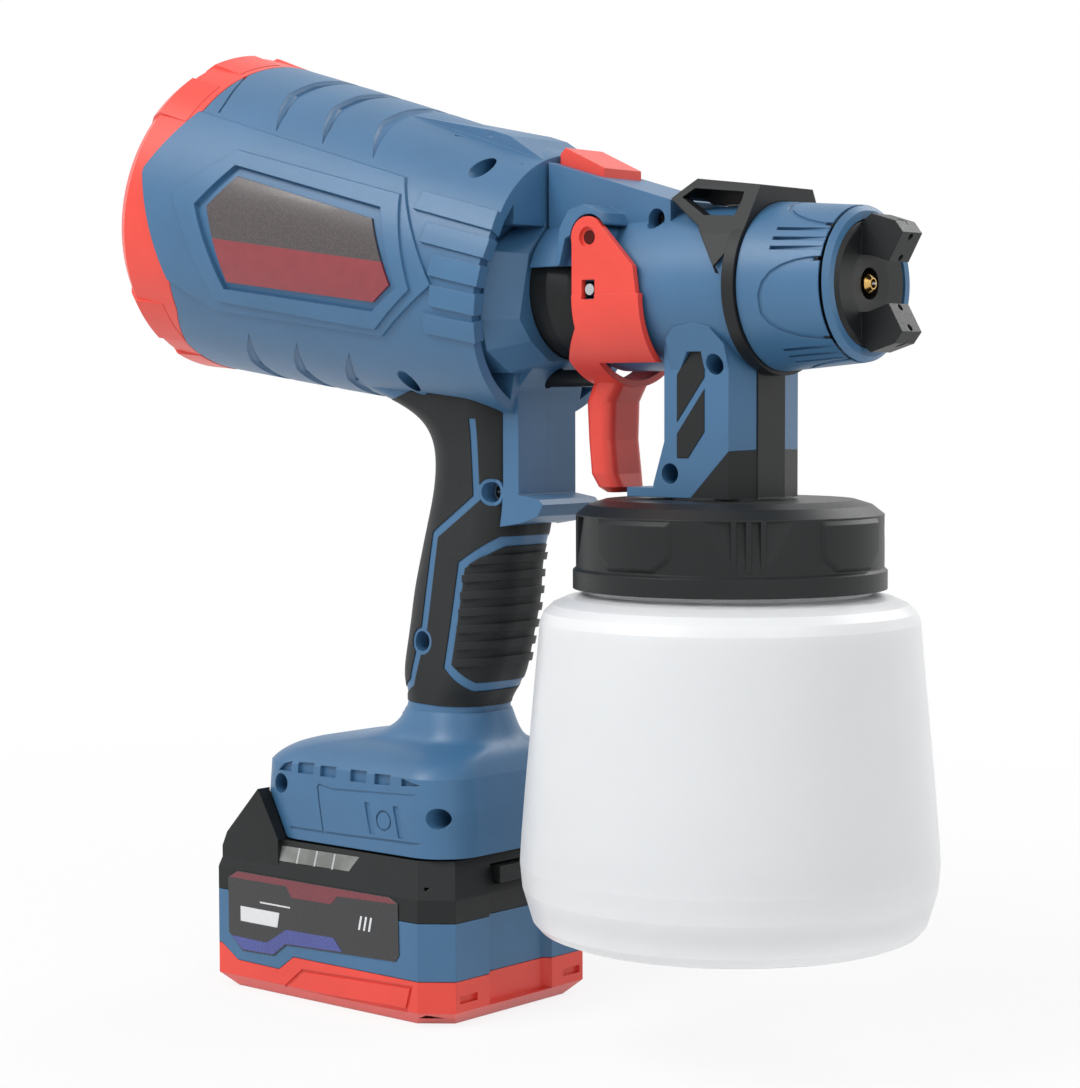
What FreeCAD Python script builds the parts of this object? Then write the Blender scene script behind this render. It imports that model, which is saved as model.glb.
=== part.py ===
import FreeCAD, Part
import math
import os
import sys

import Sketcher
from FreeCAD import Placement, Rotation, Vector

# Cordless paint sprayer with a turbine in the barrel, a slide-on battery under the handle
# and a spray gun with a hanging cup that locks onto the front of the turbine unit.
#
# Axes: +X is the spray direction, +Z is up and Y is across. The tool is drawn with the
# cup's axis at x = 0 and is then moved along X by FRAME_SHIFT, so that its origin is at
# the middle of the bottom of the whole outline. The right half is the one at negative Y.

SIZES = [
    # barrel: a cone that leans nose-down, measured from its rear rim
    ("barrel_back", 200.0, "rear rim's centre behind the cup axis"),
    ("barrel_height", 249.5, "rear rim's centre above the battery's underside"),
    ("barrel_tilt", 12.1, "nose-down lean of the barrel in degrees"),
    ("barrel_length", 141.5, "rear rim to front edge"),
    ("barrel_rear_radius", 51.2, "outer radius at the rear rim"),
    ("barrel_front_radius", 39.6, "outer radius at the front edge"),
    ("barrel_belly", 0.6, "how far the side bows out of a straight cone"),
    ("housing_wall", 2.6, "wall of the power unit's housing"),
    ("shell_wall", 2.2, "wall of the spray gun's shell"),
    ("running_gap", 0.3, "clearance between pieces that slide or turn"),
    ("bore_gap", 0.05, "radial clearance of a shaft in its bore"),
    # rear cap
    ("cap_reach", 13.0, "cap's rear face behind the rear rim"),
    ("cap_rear_radius", 40.0, "radius of the cap's rear face"),
    ("cap_wall", 2.4, "wall of the rear cap"),
    ("cap_skirt", 2.7, "thickness of the cap's skirt over the housing's spigot"),
    ("cap_pad_rise", 0.9, "rise of the grip pads round the cap's shoulder"),
    ("filter_radius", 36.5, "intake filter disc"),
    ("filter_thickness", 5.0, "intake filter disc"),
    # side panel, in the side view of the barrel
    ("panel_rise", 1.0, "rise of the side panel above the barrel"),
    ("frame_rise", 0.9, "rise of the frame above the side panel"),
    ("label_thickness", 0.8, "thickness of the plate in the frame"),
    ("fin_rise", 1.1, "rise of the cooling fins"),
    ("fin_width", 6.2, "width of a cooling fin"),
    ("scoop_depth", 1.5, "depth of the finger scoops on the barrel"),
    # motor and turbine, along the barrel's axis
    ("motor_radius", 22.0, "motor can"),
    ("motor_length", 56.0, "motor can"),
    ("motor_start", 26.0, "motor can's rear end from the rear rim"),
    ("can_wall", 1.6, "motor can"),
    ("shaft_radius", 2.5, "motor shaft"),
    ("bearing_radius", 8.0, "outer radius of the two ball bearings"),
    ("bearing_width", 5.0, "width of the two ball bearings"),
    ("armature_radius", 15.0, "armature"),
    ("fan_radius", 24.2, "turbine wheel"),
    ("fan_width", 11.0, "turbine wheel"),
    ("fan_case_radius", 27.0, "turbine case"),
    ("fan_case_start", 84.0, "turbine case's rear face from the rear rim"),
    ("fan_case_length", 38.0, "turbine case"),
    ("fan_case_wall", 2.0, "turbine case"),
    ("duct_radius", 17.0, "inner radius of the air duct"),
    # joint between the power unit and the spray gun
    ("joint_back", 56.6, "middle of the joint's gap behind the cup axis"),
    ("joint_gap", 1.4, "width of the joint's gap"),
    ("inlet_height", 219.6, "height of the air inlet's axis"),
    ("inlet_radius", 20.0, "outer radius of the gun's air inlet"),
    ("inlet_wall", 2.0, "wall of the gun's air inlet"),
    ("inlet_plug", 5.0, "how far the inlet plugs into the collar"),
    # spray gun
    ("nozzle_height", 218.9, "height of the spray axis"),
    ("tube_radius", 23.0, "outer radius of the gun's tube"),
    ("tube_front", 14.4, "front end of the gun's tube before the cup axis"),
    ("tube_cut_back", 36.5, "the tube's lower half starts this far behind the cup axis"),
    ("tube_cut_height", 226.0, "underside of the tube's rear overhang"),
    ("deck_half_width", 13.2, "half width of the deck on top of the tube"),
    ("deck_rear_height", 256.9, "top of the deck at the joint"),
    ("deck_front_height", 243.8, "top of the deck at its front"),
    ("deck_front_back", 11.0, "deck's front behind the cup axis"),
    ("leg_half_width", 16.6, "half width of the leg down to the cup"),
    ("leg_back", 10.6, "rear of the leg behind the cup axis"),
    ("leg_front", 11.8, "front corner of the leg before the cup axis"),
    ("leg_nose", 14.2, "middle of the leg's front face before the cup axis"),
    ("spine_half_width", 6.5, "half width of the black spine in the leg's front"),
    ("lid_top", 159.5, "top of the cup ring"),
    ("saddle_front_height", 176.0, "top of the saddle at the front"),
    # trigger
    ("pivot_back", 31.4, "trigger pivot behind the cup axis"),
    ("pivot_height", 233.6, "trigger pivot"),
    ("pin_radius", 2.0, "trigger pin"),
    ("cheek_outer", 25.4, "outer face of a trigger cheek from the middle plane"),
    ("cheek_inner", 23.6, "inner face of a trigger cheek from the middle plane"),
    ("saddle_inner", 24.3, "inner radius of the trigger's saddle"),
    ("lever_back", 47.3, "rear face of the finger lever behind the cup axis"),
    ("lever_depth", 9.4, "depth of the finger lever, front to back"),
    ("lever_half_width", 8.3, "half width of the finger lever"),
    ("lever_bottom", 160.6, "bottom of the finger lever"),
    ("plunger_height", 194.0, "axis of the switch plunger"),
    ("plunger_radius", 2.6, "switch plunger"),
    ("plunger_travel", 12.0, "travel of the switch plunger"),
    # nozzle
    ("nut_start", 19.2, "rear of the ring nut before the cup axis"),
    ("nut_rear_radius", 23.5, "outer radius of the ring nut at the rear"),
    ("nut_front_radius", 21.0, "outer radius of the ring nut at the front"),
    ("nut_front", 47.0, "front face of the ring nut before the cup axis"),
    ("nut_bore", 20.9, "bore of the ring nut"),
    ("cap_opening", 17.5, "opening in the ring nut's front"),
    ("neck_radius", 20.4, "threaded neck under the ring nut"),
    ("air_cap_front", 46.4, "rim of the air cap's disc before the cup axis"),
    ("horn_reach", 60.3, "tips of the air cap's horns before the cup axis"),
    ("horn_half_width", 4.8, "half width of a horn"),
    ("air_hole_radius", 4.4, "middle hole of the air cap"),
    ("tip_radius", 2.6, "fluid nozzle's tip"),
    ("tip_front", 48.0, "fluid nozzle's tip before the cup axis"),
    ("orifice_radius", 1.25, "fluid nozzle's orifice"),
    ("needle_radius", 1.15, "fluid needle"),
    # selector
    ("selector_start", 14.8, "rear of the selector ring before the cup axis"),
    ("selector_radius", 24.6, "outer radius of the selector ring"),
    ("selector_half_width", 12.0, "half width of the selector's lever"),
    ("selector_top", 249.4, "top of the selector's lever"),
    ("selector_clear", 23.6, "radius that the lever sweeps clear of"),
    # cup and cup ring
    ("cup_radius", 59.9, "widest radius of the cup"),
    ("cup_wide_height", 56.0, "height of the widest section"),
    ("cup_foot_radius", 56.9, "radius just above the bottom corner"),
    ("cup_bottom", 36.1, "underside of the cup"),
    ("cup_corner", 5.6, "bottom corner radius"),
    ("cup_top_radius", 54.0, "radius just under the shoulder"),
    ("cup_shoulder", 125.0, "start of the shoulder"),
    ("cup_wall", 1.8, "wall of the cup"),
    ("mouth_radius", 40.4, "outer radius of the cup's threaded mouth"),
    ("mouth_top", 149.6, "rim of the cup's mouth"),
    ("ring_radius", 43.7, "outer radius of the cup ring"),
    ("ring_flange_radius", 44.6, "flange of the cup ring"),
    ("ring_bottom", 134.4, "underside of the cup ring"),
    ("ring_flange_height", 5.2, "height of the flange"),
    ("ring_bore", 41.2, "bore of the cup ring"),
    ("ring_edge", 155.4, "start of the chamfer on top of the cup ring"),
    ("ring_hole", 18.2, "hole in the cup ring's top"),
    ("suction_radius", 4.0, "suction tube"),
    ("suction_bore", 2.8, "suction tube"),
    ("suction_end", 40.5, "lower end of the suction tube"),
    # handle
    ("guard_front", 68.0, "front of the guard block behind the cup axis"),
    ("guard_half_width", 13.2, "half width of the guard block"),
    ("cover_thickness", 1.5, "soft cover on the grip"),
    ("cover_proud", 0.3, "how far the soft cover stands proud"),
    ("stripe_width", 2.6, "bare stripe between the soft covers"),
    ("pad_rib_rise", 0.9, "rise of the ribs on the finger pads"),
    ("foot_bottom", 50.4, "underside of the foot"),
    ("foot_half_width", 33.2, "half width of the foot"),
    ("channel_half_width", 22.0, "half width of the battery channel"),
    ("channel_height", 9.4, "height of the battery channel"),
    # battery
    ("battery_rear", 178.5, "rear of the battery behind the cup axis"),
    ("battery_front", 79.1, "front of the battery behind the cup axis"),
    ("battery_half_width", 36.8, "half width of the battery"),
    ("battery_corner", 9.0, "plan chamfer of the battery's corners"),
    ("battery_wall", 2.4, "wall of the battery's case"),
    ("base_height", 13.9, "top of the battery's base"),
    ("middle_height", 31.7, "top of the battery's middle shell"),
    ("side_height", 38.6, "top of the battery's upright side"),
    ("battery_top_height", 50.0, "top of the battery's case"),
    ("base_chamfer", 4.5, "chamfer round the battery's underside"),
    ("cell_radius", 9.0, "cell"),
    ("cell_length", 65.0, "cell"),
    ("cell_pitch", 18.4, "distance from cell to cell"),
    # screws
    ("screw_head_radius", 2.8, "head of a case screw"),
    ("screw_radius", 1.5, "shank of a case screw"),
    ("screw_well", 3.1, "radius of a screw's well"),
    ("boss_radius", 4.8, "screw boss"),
]

doc = FreeCAD.newDocument("PaintSprayer")
sheet = doc.addObject("Spreadsheet::Sheet", "Sizes")
for row, (alias, value, note) in enumerate(SIZES, start=1):
    sheet.set(f"A{row}", note)
    sheet.set(f"B{row}", str(value))
    sheet.setAlias(f"B{row}", alias)
doc.recompute()


class Dim:
    """A size with its value now and the expression that keeps a feature bound to the sheet."""

    def __init__(self, value, text):
        self.value = value
        self.text = text

    def __float__(self):
        return float(self.value)

    def __add__(self, other):
        other = as_dim(other)
        return Dim(self.value + other.value, f"({self.text} + {other.text})")

    def __sub__(self, other):
        other = as_dim(other)
        return Dim(self.value - other.value, f"({self.text} - {other.text})")

    def __mul__(self, factor):
        factor = as_dim(factor)
        return Dim(self.value * factor.value, f"({self.text} * {factor.text})")

    def __truediv__(self, factor):
        factor = as_dim(factor)
        return Dim(self.value / factor.value, f"({self.text} / {factor.text})")

    def __neg__(self):
        return Dim(-self.value, f"(0 - {self.text})")

    def __radd__(self, other):
        return as_dim(other) + self

    def __rsub__(self, other):
        return as_dim(other) - self

    def __rmul__(self, other):
        return as_dim(other) * self


def as_dim(number):
    """A plain number as a Dim."""
    if isinstance(number, Dim):
        return number
    return Dim(float(number), f"{float(number):.6f}" if number >= 0 else f"(0 - {-float(number):.6f})")


class Sizes:
    """The sheet's cells by name: as Dims in D and as plain numbers in S."""


D = Sizes()
S = Sizes()
for alias, value, note in SIZES:
    setattr(D, alias, Dim(float(getattr(sheet, alias)), f"Sizes.{alias}"))
    setattr(S, alias, float(getattr(sheet, alias)))

TILT = math.radians(S.barrel_tilt)
SIN_TILT = Dim(math.sin(TILT), "sin(Sizes.barrel_tilt)")
COS_TILT = Dim(math.cos(TILT), "cos(Sizes.barrel_tilt)")
REAR_REACH = D.barrel_back + D.cap_reach * COS_TILT + D.cap_rear_radius * SIN_TILT
FRAME_SHIFT = (REAR_REACH - D.horn_reach) / 2

AXES = {
    "barrel": (FRAME_SHIFT - D.barrel_back, D.barrel_height, 90 + D.barrel_tilt),
    "nozzle": (FRAME_SHIFT, D.nozzle_height, as_dim(90)),
    "inlet": (FRAME_SHIFT, D.inlet_height, as_dim(90)),
    "cup": (FRAME_SHIFT, as_dim(0), as_dim(0)),
}
PARTS = []


def keep(feature, name):
    """Gives a finished sub-part its label and puts it on the list to be written."""
    feature.Label = name
    PARTS.append(feature)
    return feature


def bind(feature, prop, size):
    """Binds one property of a feature to the sheet."""
    feature.setExpression(prop, as_dim(size).text)


def draw_outline(sketch, corners):
    """Draws a closed outline whose every corner is held by two bound distances from the origin."""
    points = [Vector(float(x), float(y), 0) for x, y in corners]
    last = len(points)
    for i, point in enumerate(points):
        sketch.addGeometry(Part.LineSegment(point, points[(i + 1) % last]), False)
    for i in range(last):
        sketch.addConstraint(Sketcher.Constraint("Coincident", i, 2, (i + 1) % last, 1))
    for i, corner in enumerate(corners):
        for kind, axis, letter, size in (("DistanceX", -2, "x", corner[0]),
                                         ("DistanceY", -1, "y", corner[1])):
            size = as_dim(size)
            if abs(size.value) < 1e-9:
                sketch.addConstraint(Sketcher.Constraint("PointOnObject", i, 1, axis))
                continue
            number = sketch.addConstraint(Sketcher.Constraint(kind, -1, 1, i, 1, size.value))
            sketch.renameConstraint(number, f"{letter}{i}")
            sketch.setExpression(f"Constraints.{letter}{i}", size.text)


def plane_of(body, role):
    """One of a body's own origin planes."""
    return next(f for f in body.Origin.OriginFeatures if f.Role == role)


def new_sketch(body, name, role):
    """An empty sketch on one of the body's origin planes."""
    sketch = body.newObject("Sketcher::SketchObject", name)
    sketch.AttachmentSupport = [(plane_of(body, role), "")]
    sketch.MapMode = "FlatFace"
    return sketch


def seat_on(body, axis):
    """Stands a body, drawn round its own Z axis, on one of the tool's axes."""
    along, up, turn = AXES[axis]
    body.Placement = Placement(Vector(float(along), 0, float(up)), Rotation(Vector(0, 1, 0), float(turn)))
    bind(body, "Placement.Base.x", along)
    bind(body, "Placement.Base.z", up)
    bind(body, "Placement.Rotation.Angle", turn)


def turned(name, axis, corners):
    """A turned piece: its half section, as (radius, distance along the axis), turned once round."""
    body = doc.addObject("PartDesign::Body", name)
    sketch = new_sketch(body, name + "_section", "XZ_Plane")
    draw_outline(sketch, corners)
    turn = body.newObject("PartDesign::Revolution", name + "_turn")
    turn.Profile = sketch
    turn.ReferenceAxis = (sketch, ["V_Axis"])
    turn.Angle = 360
    sketch.Visibility = False
    seat_on(body, axis)
    return body


def sleeve(name, axis, inner, outer, start, length):
    """A plain ring or tube."""
    return turned(name, axis, [(inner, start), (outer, start), (outer, start + length),
                               (inner, start + length)])


def block(name, low, sizes):
    """A box from its lowest corner and its three sizes, in the tool's own axes."""
    box = doc.addObject("Part::Box", name)
    for prop, size in zip(("Length", "Width", "Height"), sizes):
        bind(box, prop, size)
    for letter, size in zip("xyz", (low[0] + FRAME_SHIFT, low[1], low[2])):
        bind(box, f"Placement.Base.{letter}", size)
    return box


def rod(name, start, radius, length, direction="y"):
    """A round rod along X, Y or Z from its start."""
    turns = {"x": (Vector(0, 1, 0), 90), "y": (Vector(1, 0, 0), -90), "z": (Vector(0, 0, 1), 0)}
    pin = doc.addObject("Part::Cylinder", name)
    pin.Placement = Placement(Vector(), Rotation(*turns[direction]))
    bind(pin, "Radius", radius)
    bind(pin, "Height", length)
    for letter, size in zip("xyz", (start[0] + FRAME_SHIFT, start[1], start[2])):
        bind(pin, f"Placement.Base.{letter}", size)
    return pin


def joined(name, members):
    """Several overlapping members as one solid."""
    fuse = doc.addObject("Part::MultiFuse", name)
    fuse.Shapes = members
    return fuse


def cut_from(name, base, tool):
    """One member with another cut out of it."""
    cut = doc.addObject("Part::Cut", name)
    cut.Base = base
    cut.Tool = tool
    return cut


def group(name, members):
    """Several separate solids of one kind as one node."""
    compound = doc.addObject("Part::Compound", name)
    compound.Links = members
    return compound


def shaped(name, shape):
    """A sub-part whose solid is worked out below from the sheet's sizes."""
    feature = doc.addObject("Part::Feature", name)
    feature.Shape = shape
    feature.Placement = Placement(Vector(FRAME_SHIFT.value, 0, 0), Rotation())
    return keep(feature, name)


# Plain shapes, in the tool's axes with the cup's axis at x = 0

FAR = 400.0


def prism(points, low, high):
    """A side-view outline of (x, z) points carried across from y = low to y = high."""
    wire = Part.makePolygon([Vector(x, low, z) for x, z in points + points[:1]])
    return Part.Face(wire).extrude(Vector(0, high - low, 0))


def plan(points, low, high):
    """A plan outline of (x, y) points carried up from z = low to z = high."""
    wire = Part.makePolygon([Vector(x, y, low) for x, y in points + points[:1]])
    return Part.Face(wire).extrude(Vector(0, 0, high - low))


def both_sides(points, near, far):
    """The same side-view outline on both sides, from y = near to y = far."""
    return Part.makeCompound([prism(points, near, far), prism(points, -far, -near)])


def box(x0, x1, y0, y1, z0, z1):
    """A box between two corners."""
    return Part.makeBox(x1 - x0, y1 - y0, z1 - z0, Vector(x0, y0, z0))


def along_x(x0, x1, radius, height, y=0.0):
    """A round bar along X."""
    return Part.makeCylinder(radius, x1 - x0, Vector(x0, y, height), Vector(1, 0, 0))


def across(x, z, radius, y0, y1):
    """A round bar along Y."""
    return Part.makeCylinder(radius, y1 - y0, Vector(x, y0, z), Vector(0, 1, 0))


def upright(x, y, radius, z0, z1):
    """A round bar along Z."""
    return Part.makeCylinder(radius, z1 - z0, Vector(x, y, z0), Vector(0, 0, 1))


def rounded_loop(x0, x1, half, corner, z):
    """A level rectangle with round corners, symmetrical about y = 0."""
    c = min(corner, half - 0.5, (x1 - x0) / 2 - 0.5)
    k = c * (1 - math.sqrt(0.5))
    edges = []
    stations = [
        (Vector(x1, half - c, z), Vector(x1 - k, half - k, z), Vector(x1 - c, half, z)),
        (Vector(x0 + c, half, z), Vector(x0 + k, half - k, z), Vector(x0, half - c, z)),
        (Vector(x0, c - half, z), Vector(x0 + k, k - half, z), Vector(x0 + c, -half, z)),
        (Vector(x1 - c, -half, z), Vector(x1 - k, k - half, z), Vector(x1, c - half, z)),
    ]
    for i, (a, b, end) in enumerate(stations):
        edges.append(Part.Arc(a, b, end).toShape())
        edges.append(Part.LineSegment(end, stations[(i + 1) % 4][0]).toShape())
    return Part.Wire(edges)


def lofted(sections, inset, corner, ruled=False):
    """A solid through level sections of (height, rear x, front x, half width), drawn in by inset."""
    loops = [rounded_loop(rear + inset, front - inset, half - inset, corner - inset, z)
             for z, rear, front, half in sections]
    return Part.makeLoft(loops, True, ruled)


def cut_all(shape, tools):
    """A shape with every tool cut out of it."""
    return shape.cut(Part.makeCompound(tools))


def halves(shape):
    """The right half and the left half of a shape split at y = 0."""
    reach = FAR
    right = shape.common(box(-reach, reach, -reach, 0, -reach, reach))
    left = shape.common(box(-reach, reach, 0, reach, -reach, reach))
    return right, left


def solid_of(shape):
    """The one solid in a shape, or all its solids together when there are more."""
    if len(shape.Solids) == 1:
        return shape.Solids[0]
    return Part.makeCompound(shape.Solids)


# The barrel's own axes: u runs along it from the rear rim and w stands square to it, upwards

BARREL_SEAT = Placement(
    Vector(-S.barrel_back, 0, S.barrel_height), Rotation(Vector(0, 1, 0), 90 + S.barrel_tilt)
)


def on_barrel(u, w, y=0.0):
    """A point from the barrel's own axes in the tool's axes."""
    return BARREL_SEAT.multVec(Vector(-w, y, u))


def barrel_radius(u):
    """The barrel's outer radius at u: a straight cone with a slight belly."""
    part = u / S.barrel_length
    cone = S.barrel_rear_radius + (S.barrel_front_radius - S.barrel_rear_radius) * part
    return cone + 4 * S.barrel_belly * part * (1 - part)


def spun(profile):
    """A half section of (radius, u) points turned round the barrel's axis."""
    wire = Part.makePolygon([Vector(r, 0, u) for r, u in profile + profile[:1]])
    solid = Part.Face(wire).revolve(Vector(), Vector(0, 0, 1), 360)
    solid.Placement = BARREL_SEAT
    return solid


def barrel_solid(offset, start, end):
    """The barrel's body of revolution between two stations, grown by offset."""
    middle = (start + end) / 2
    low = Vector(barrel_radius(start) + offset, 0, start)
    high = Vector(barrel_radius(end) + offset, 0, end)
    bow = Part.Arc(low, Vector(barrel_radius(middle) + offset, 0, middle), high).toShape()
    rest = Part.makePolygon([high, Vector(0, 0, end), Vector(0, 0, start), low])
    solid = Part.Face(Part.Wire([bow] + rest.Edges)).revolve(Vector(), Vector(0, 0, 1), 360)
    solid.Placement = BARREL_SEAT
    return solid


def barrel_prism(points, near, far):
    """An outline of (u, w) points carried across both sides of the barrel."""
    corners = [on_barrel(u, w) for u, w in points]
    return both_sides([(p.x, p.z) for p in corners], near, far)


def barrel_bar(angle, start, end, width, inner, outer):
    """A bar along the barrel's side at an angle from the top, towards positive Y."""
    bar = Part.makeBox(outer - inner, width, end - start, Vector(inner, -width / 2, start))
    bar.rotate(Vector(), Vector(0, 0, 1), 180 - angle)
    bar.Placement = BARREL_SEAT.multiply(bar.Placement)
    return bar


# Outlines on the barrel's side, as (u, w)
CAP_EDGE = [(14.5, 60), (15.3, 33.6), (5.0, 13.2), (5.0, 11.4), (18.7, -20.3), (17.9, -30), (11.4, -42),
            (11.4, -60)]
PANEL = [(4.4, 12.8), (15.0, 33.0), (104.0, 26.2), (126.4, -2.1), (107.0, -21.0), (36.0, -26.5),
         (18.2, -20.0)]
FRAME = [(40.1, 24.2), (106.6, 21.4), (119.4, -4.9), (105.6, -19.3), (40.2, -23.0), (20.5, 7.6)]
RECESS = [(42.3, 19.7), (102.2, 16.7), (114.8, -5.1), (105.4, -14.0), (44.9, -18.5), (31.0, 5.6)]
LABEL = [(44.1, 16.5), (100.0, 12.9), (111.3, -4.9), (105.3, -11.1), (45.6, -16.1), (35.5, 5.8)]
FIN_ANGLES = (61.0, 73.0, 85.0, 97.0, 109.0)
FIN_STARTS = (113.0, 119.5, 125.0, 126.5, 124.0)
SPIGOT_STEP = S.cap_skirt + S.running_gap
MOUNT_THICKNESS = 2.4
CHANNEL_WALL = 2.4
CHANNEL_FRONT = 91.0
BLADE_HALF = 12.0
SWITCH_HALF = 9.0
SWITCH_BOTTOM = 182.0
SWITCH_TOP = 199.0
SCREW_SEAT = -7.0
SCREW_END = 9.0
SPIGOT_START = 3.0
SPIGOT_RADIUS = barrel_radius(20.0) - SPIGOT_STEP
PAD_ANGLES = (15.0, 45.0, 135.0, 165.0, 195.0, 225.0, 315.0, 345.0)
BULKHEAD = 128.0
AIR_SLOTS = [[(50.8, 31.1), (48.9, 24.4), (52.0, 12.2), (55.5, 24.7), (54.9, 30.4)],
             [(51.6, 149.6), (47.0, 162.8), (57.2, 160.5), (57.9, 150.3)]]
VENT_FLOOR = 31.2
FOOT_VENTS = [[(-151.8, 71.5), (-149.0, 73.8), (-145.9, 74.7), (-145.9, 71.5)],
              [(-143.0, 74.6), (-136.1, 74.9), (-136.1, 71.4), (-143.0, 71.3)],
              [(-133.1, 74.5), (-126.3, 74.6), (-126.3, 71.3), (-133.1, 71.2)],
              [(-120.0, 74.5), (-113.2, 74.5), (-113.2, 71.0), (-120.0, 70.9)],
              [(-109.7, 74.2), (-103.1, 74.3), (-103.1, 71.3), (-109.7, 71.0)],
              [(-98.4, 73.9), (-91.0, 72.2), (-98.4, 71.5)]]
SCOOPS = ((47.5, 1), (67.1, 1), (87.9, 1), (47.5, -1), (68.0, -1), (89.6, -1))
# A scoop's edges as (degrees from the top, rear edge, front edge), along the barrel from its tip
CRESCENT = [(48.5, -0.1, 0.1), (44.0, -2.0, -1.0), (38.0, -5.2, -2.6), (29.0, -8.8, -4.8), (15.0, -9.8, -5.5),
            (0.0, -10.0, -5.6)]

# Outlines in the side view, as (x, z)
HOOD = [(-113.0, 275.0), (-77.5, 267.6), (-71.0, 265.6), (-57.3, 257.4), (-57.3, 236.0), (-72.0, 236.0),
        (-104.0, 250.0)]
WING = [(-66.0, 262.0), (-50.0, 262.0), (-50.0, 238.4), (-66.0, 238.4)]
GUARD = [(-92.0, 202.0), (-60.2, 202.0), (-60.2, 199.2), (-68.0, 191.0), (-68.0, 159.4), (-60.2, 158.2),
         (-58.6, 156.6), (-60.6, 153.2), (-66.0, 151.2), (-76.0, 149.6), (-92.0, 149.6)]
COVER = [(-140.0, 186.6), (-113.8, 188.0), (-106.3, 190.5), (-84.0, 192.1), (-74.1, 186.4), (-74.1, 154.8),
         (-71.5, 151.4), (-56.0, 147.4), (-56.0, 92.6), (-140.0, 95.6)]
STRIPE = [(-82.9, 182.2), (-83.0, 158.2), (-100.1, 146.6), (-104.8, 118.1), (-110.2, 100.6), (-118.0, 96.4)]
PAD_FRAME = [(-56.0, 147.8), (-77.1, 146.6), (-90.6, 138.6), (-96.6, 106.0), (-88.8, 98.8), (-56.0, 100.8)]
PAD = [(-56.0, 144.8), (-76.4, 143.6), (-87.9, 136.8), (-93.4, 107.2), (-87.2, 101.6), (-56.0, 103.6)]
GRIP_SECTIONS = [
    (90.2, -121.2, -88.8, 15.3), (100.6, -119.4, -85.3, 15.3), (110.0, -118.8, -81.7, 15.2),
    (119.6, -117.1, -79.1, 15.0), (129.0, -115.4, -77.2, 15.0), (138.3, -113.0, -76.3, 15.0),
    (147.7, -110.4, -73.6, 15.0), (158.0, -107.4, -72.2, 15.2), (168.0, -105.6, -72.0, 15.8),
    (176.0, -106.6, -72.0, 16.4), (182.0, -111.0, -72.0, 17.2), (188.0, -122.0, -72.0, 18.6),
    (194.0, -138.0, -72.0, 20.0),
]
GRIP_CORNER = 12.0
FOOT_CORNER = 14.0


def foot_sections():
    """The foot's level sections from its underside up to the grip."""
    bottom = S.foot_bottom
    half = S.foot_half_width
    return [
        (bottom, -157.0, -79.4, half - 0.2), (bottom + 13.6, -163.5, -79.8, half),
        (bottom + 23.6, -163.2, -81.0, half - 0.7),
    ]


def foot_top_sections():
    """The foot's rounded top, which flows up into the grip."""
    last = foot_sections()[-1]
    z = last[0]
    return [last, (z + 3.2, -160.0, -82.0, S.foot_half_width - 3.2),
            (z + 7.2, -148.0, -84.0, S.foot_half_width - 10.2),
            (z + 11.4, -126.5, -86.8, 17.6), (z + 18.0, -120.8, -88.2, 15.4)]


def collar_loop(x, points):
    """A loop across the tool at x from (y, z) points of one side, mirrored to the other."""
    loop = [Vector(x, y, z) for y, z in points] + [Vector(x, -y, z) for y, z in reversed(points)]
    return Part.makePolygon(loop + loop[:1])


def collar():
    """The faceted collar that the spray gun plugs into."""
    rear = [(13.2, 250.0), (13.2, 240.0), (29.0, 231.0), (32.6, 211.0), (29.8, 202.0), (20.0, 195.6)]
    front = [(13.2, 250.0), (13.2, 238.2), (20.6, 230.0), (24.8, 211.0), (19.6, 204.6), (11.5, 198.9)]
    face = -S.joint_back - S.joint_gap / 2
    loops = [collar_loop(-92.0, rear), collar_loop(-65.5, rear)]
    body = Part.makeLoft(loops, True, True)
    lip = Part.makeLoft([collar_loop(-65.5, rear), collar_loop(face, front)], True, True)
    return body.fuse(lip)


def scoops():
    """The crescent-shaped finger scoops over the top and under the bottom of the barrel."""
    skin = barrel_solid(1.0, SPIGOT_START, BULKHEAD).cut(barrel_solid(-S.scoop_depth, 0.0, BULKHEAD + 5))
    bands = []
    for tip, side in SCOOPS:
        rear_edge = []
        front_edge = []
        for angle, rear, front in CRESCENT:
            height = side * math.cos(math.radians(angle))
            rear_edge.append((tip + rear, height * barrel_radius(tip + rear)))
            front_edge.append((tip + front, height * barrel_radius(tip + front)))
        ends = [(tip + CRESCENT[-1][1], 60.0 * side), (tip + CRESCENT[-1][2], 60.0 * side)]
        bands.append(barrel_prism(rear_edge + ends + front_edge[::-1], 0.0, 70.0))
    return skin.common(Part.makeCompound(bands))


def air_slots():
    """The leaf-shaped air slots between the scoops, over and under the barrel, on both sides."""
    shell = barrel_solid(FAR, 40.0, 70.0).cut(barrel_solid(-8.0, 39.0, 71.0))
    slots = []
    for leaf in AIR_SLOTS:
        sector = []
        for u, angle in leaf:
            turn = math.radians(angle)
            reach = barrel_radius(u) + FAR
            sector.append((u, reach * math.sin(turn), reach * math.cos(turn)))
        for side in (1, -1):
            slots.append(shell.common(leaf_wedge(sector, side)))
    return slots


def leaf_wedge(corners, side):
    """A wedge from the barrel's axis out to the corners (along, sideways, up) of a leaf."""
    loops = []
    for share in (0.5, 1.0):
        points = [Vector(u, side * y * share, z * share) for u, y, z in corners]
        loops.append(Part.makePolygon(points + points[:1]))
    wedge = Part.makeLoft(loops, True, True)
    wedge.Placement = BARREL_SEAT.multiply(wedge.Placement)
    return wedge


def screw_places():
    """Where the case screws of the power unit go, as (x, z)."""
    return [(-71.5, 255.4), (-101.0, 193.4), (-78.2, 160.0), (-105.9, 113.6), (-85.6, 62.6), (-150.5, 67.4)]


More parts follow.
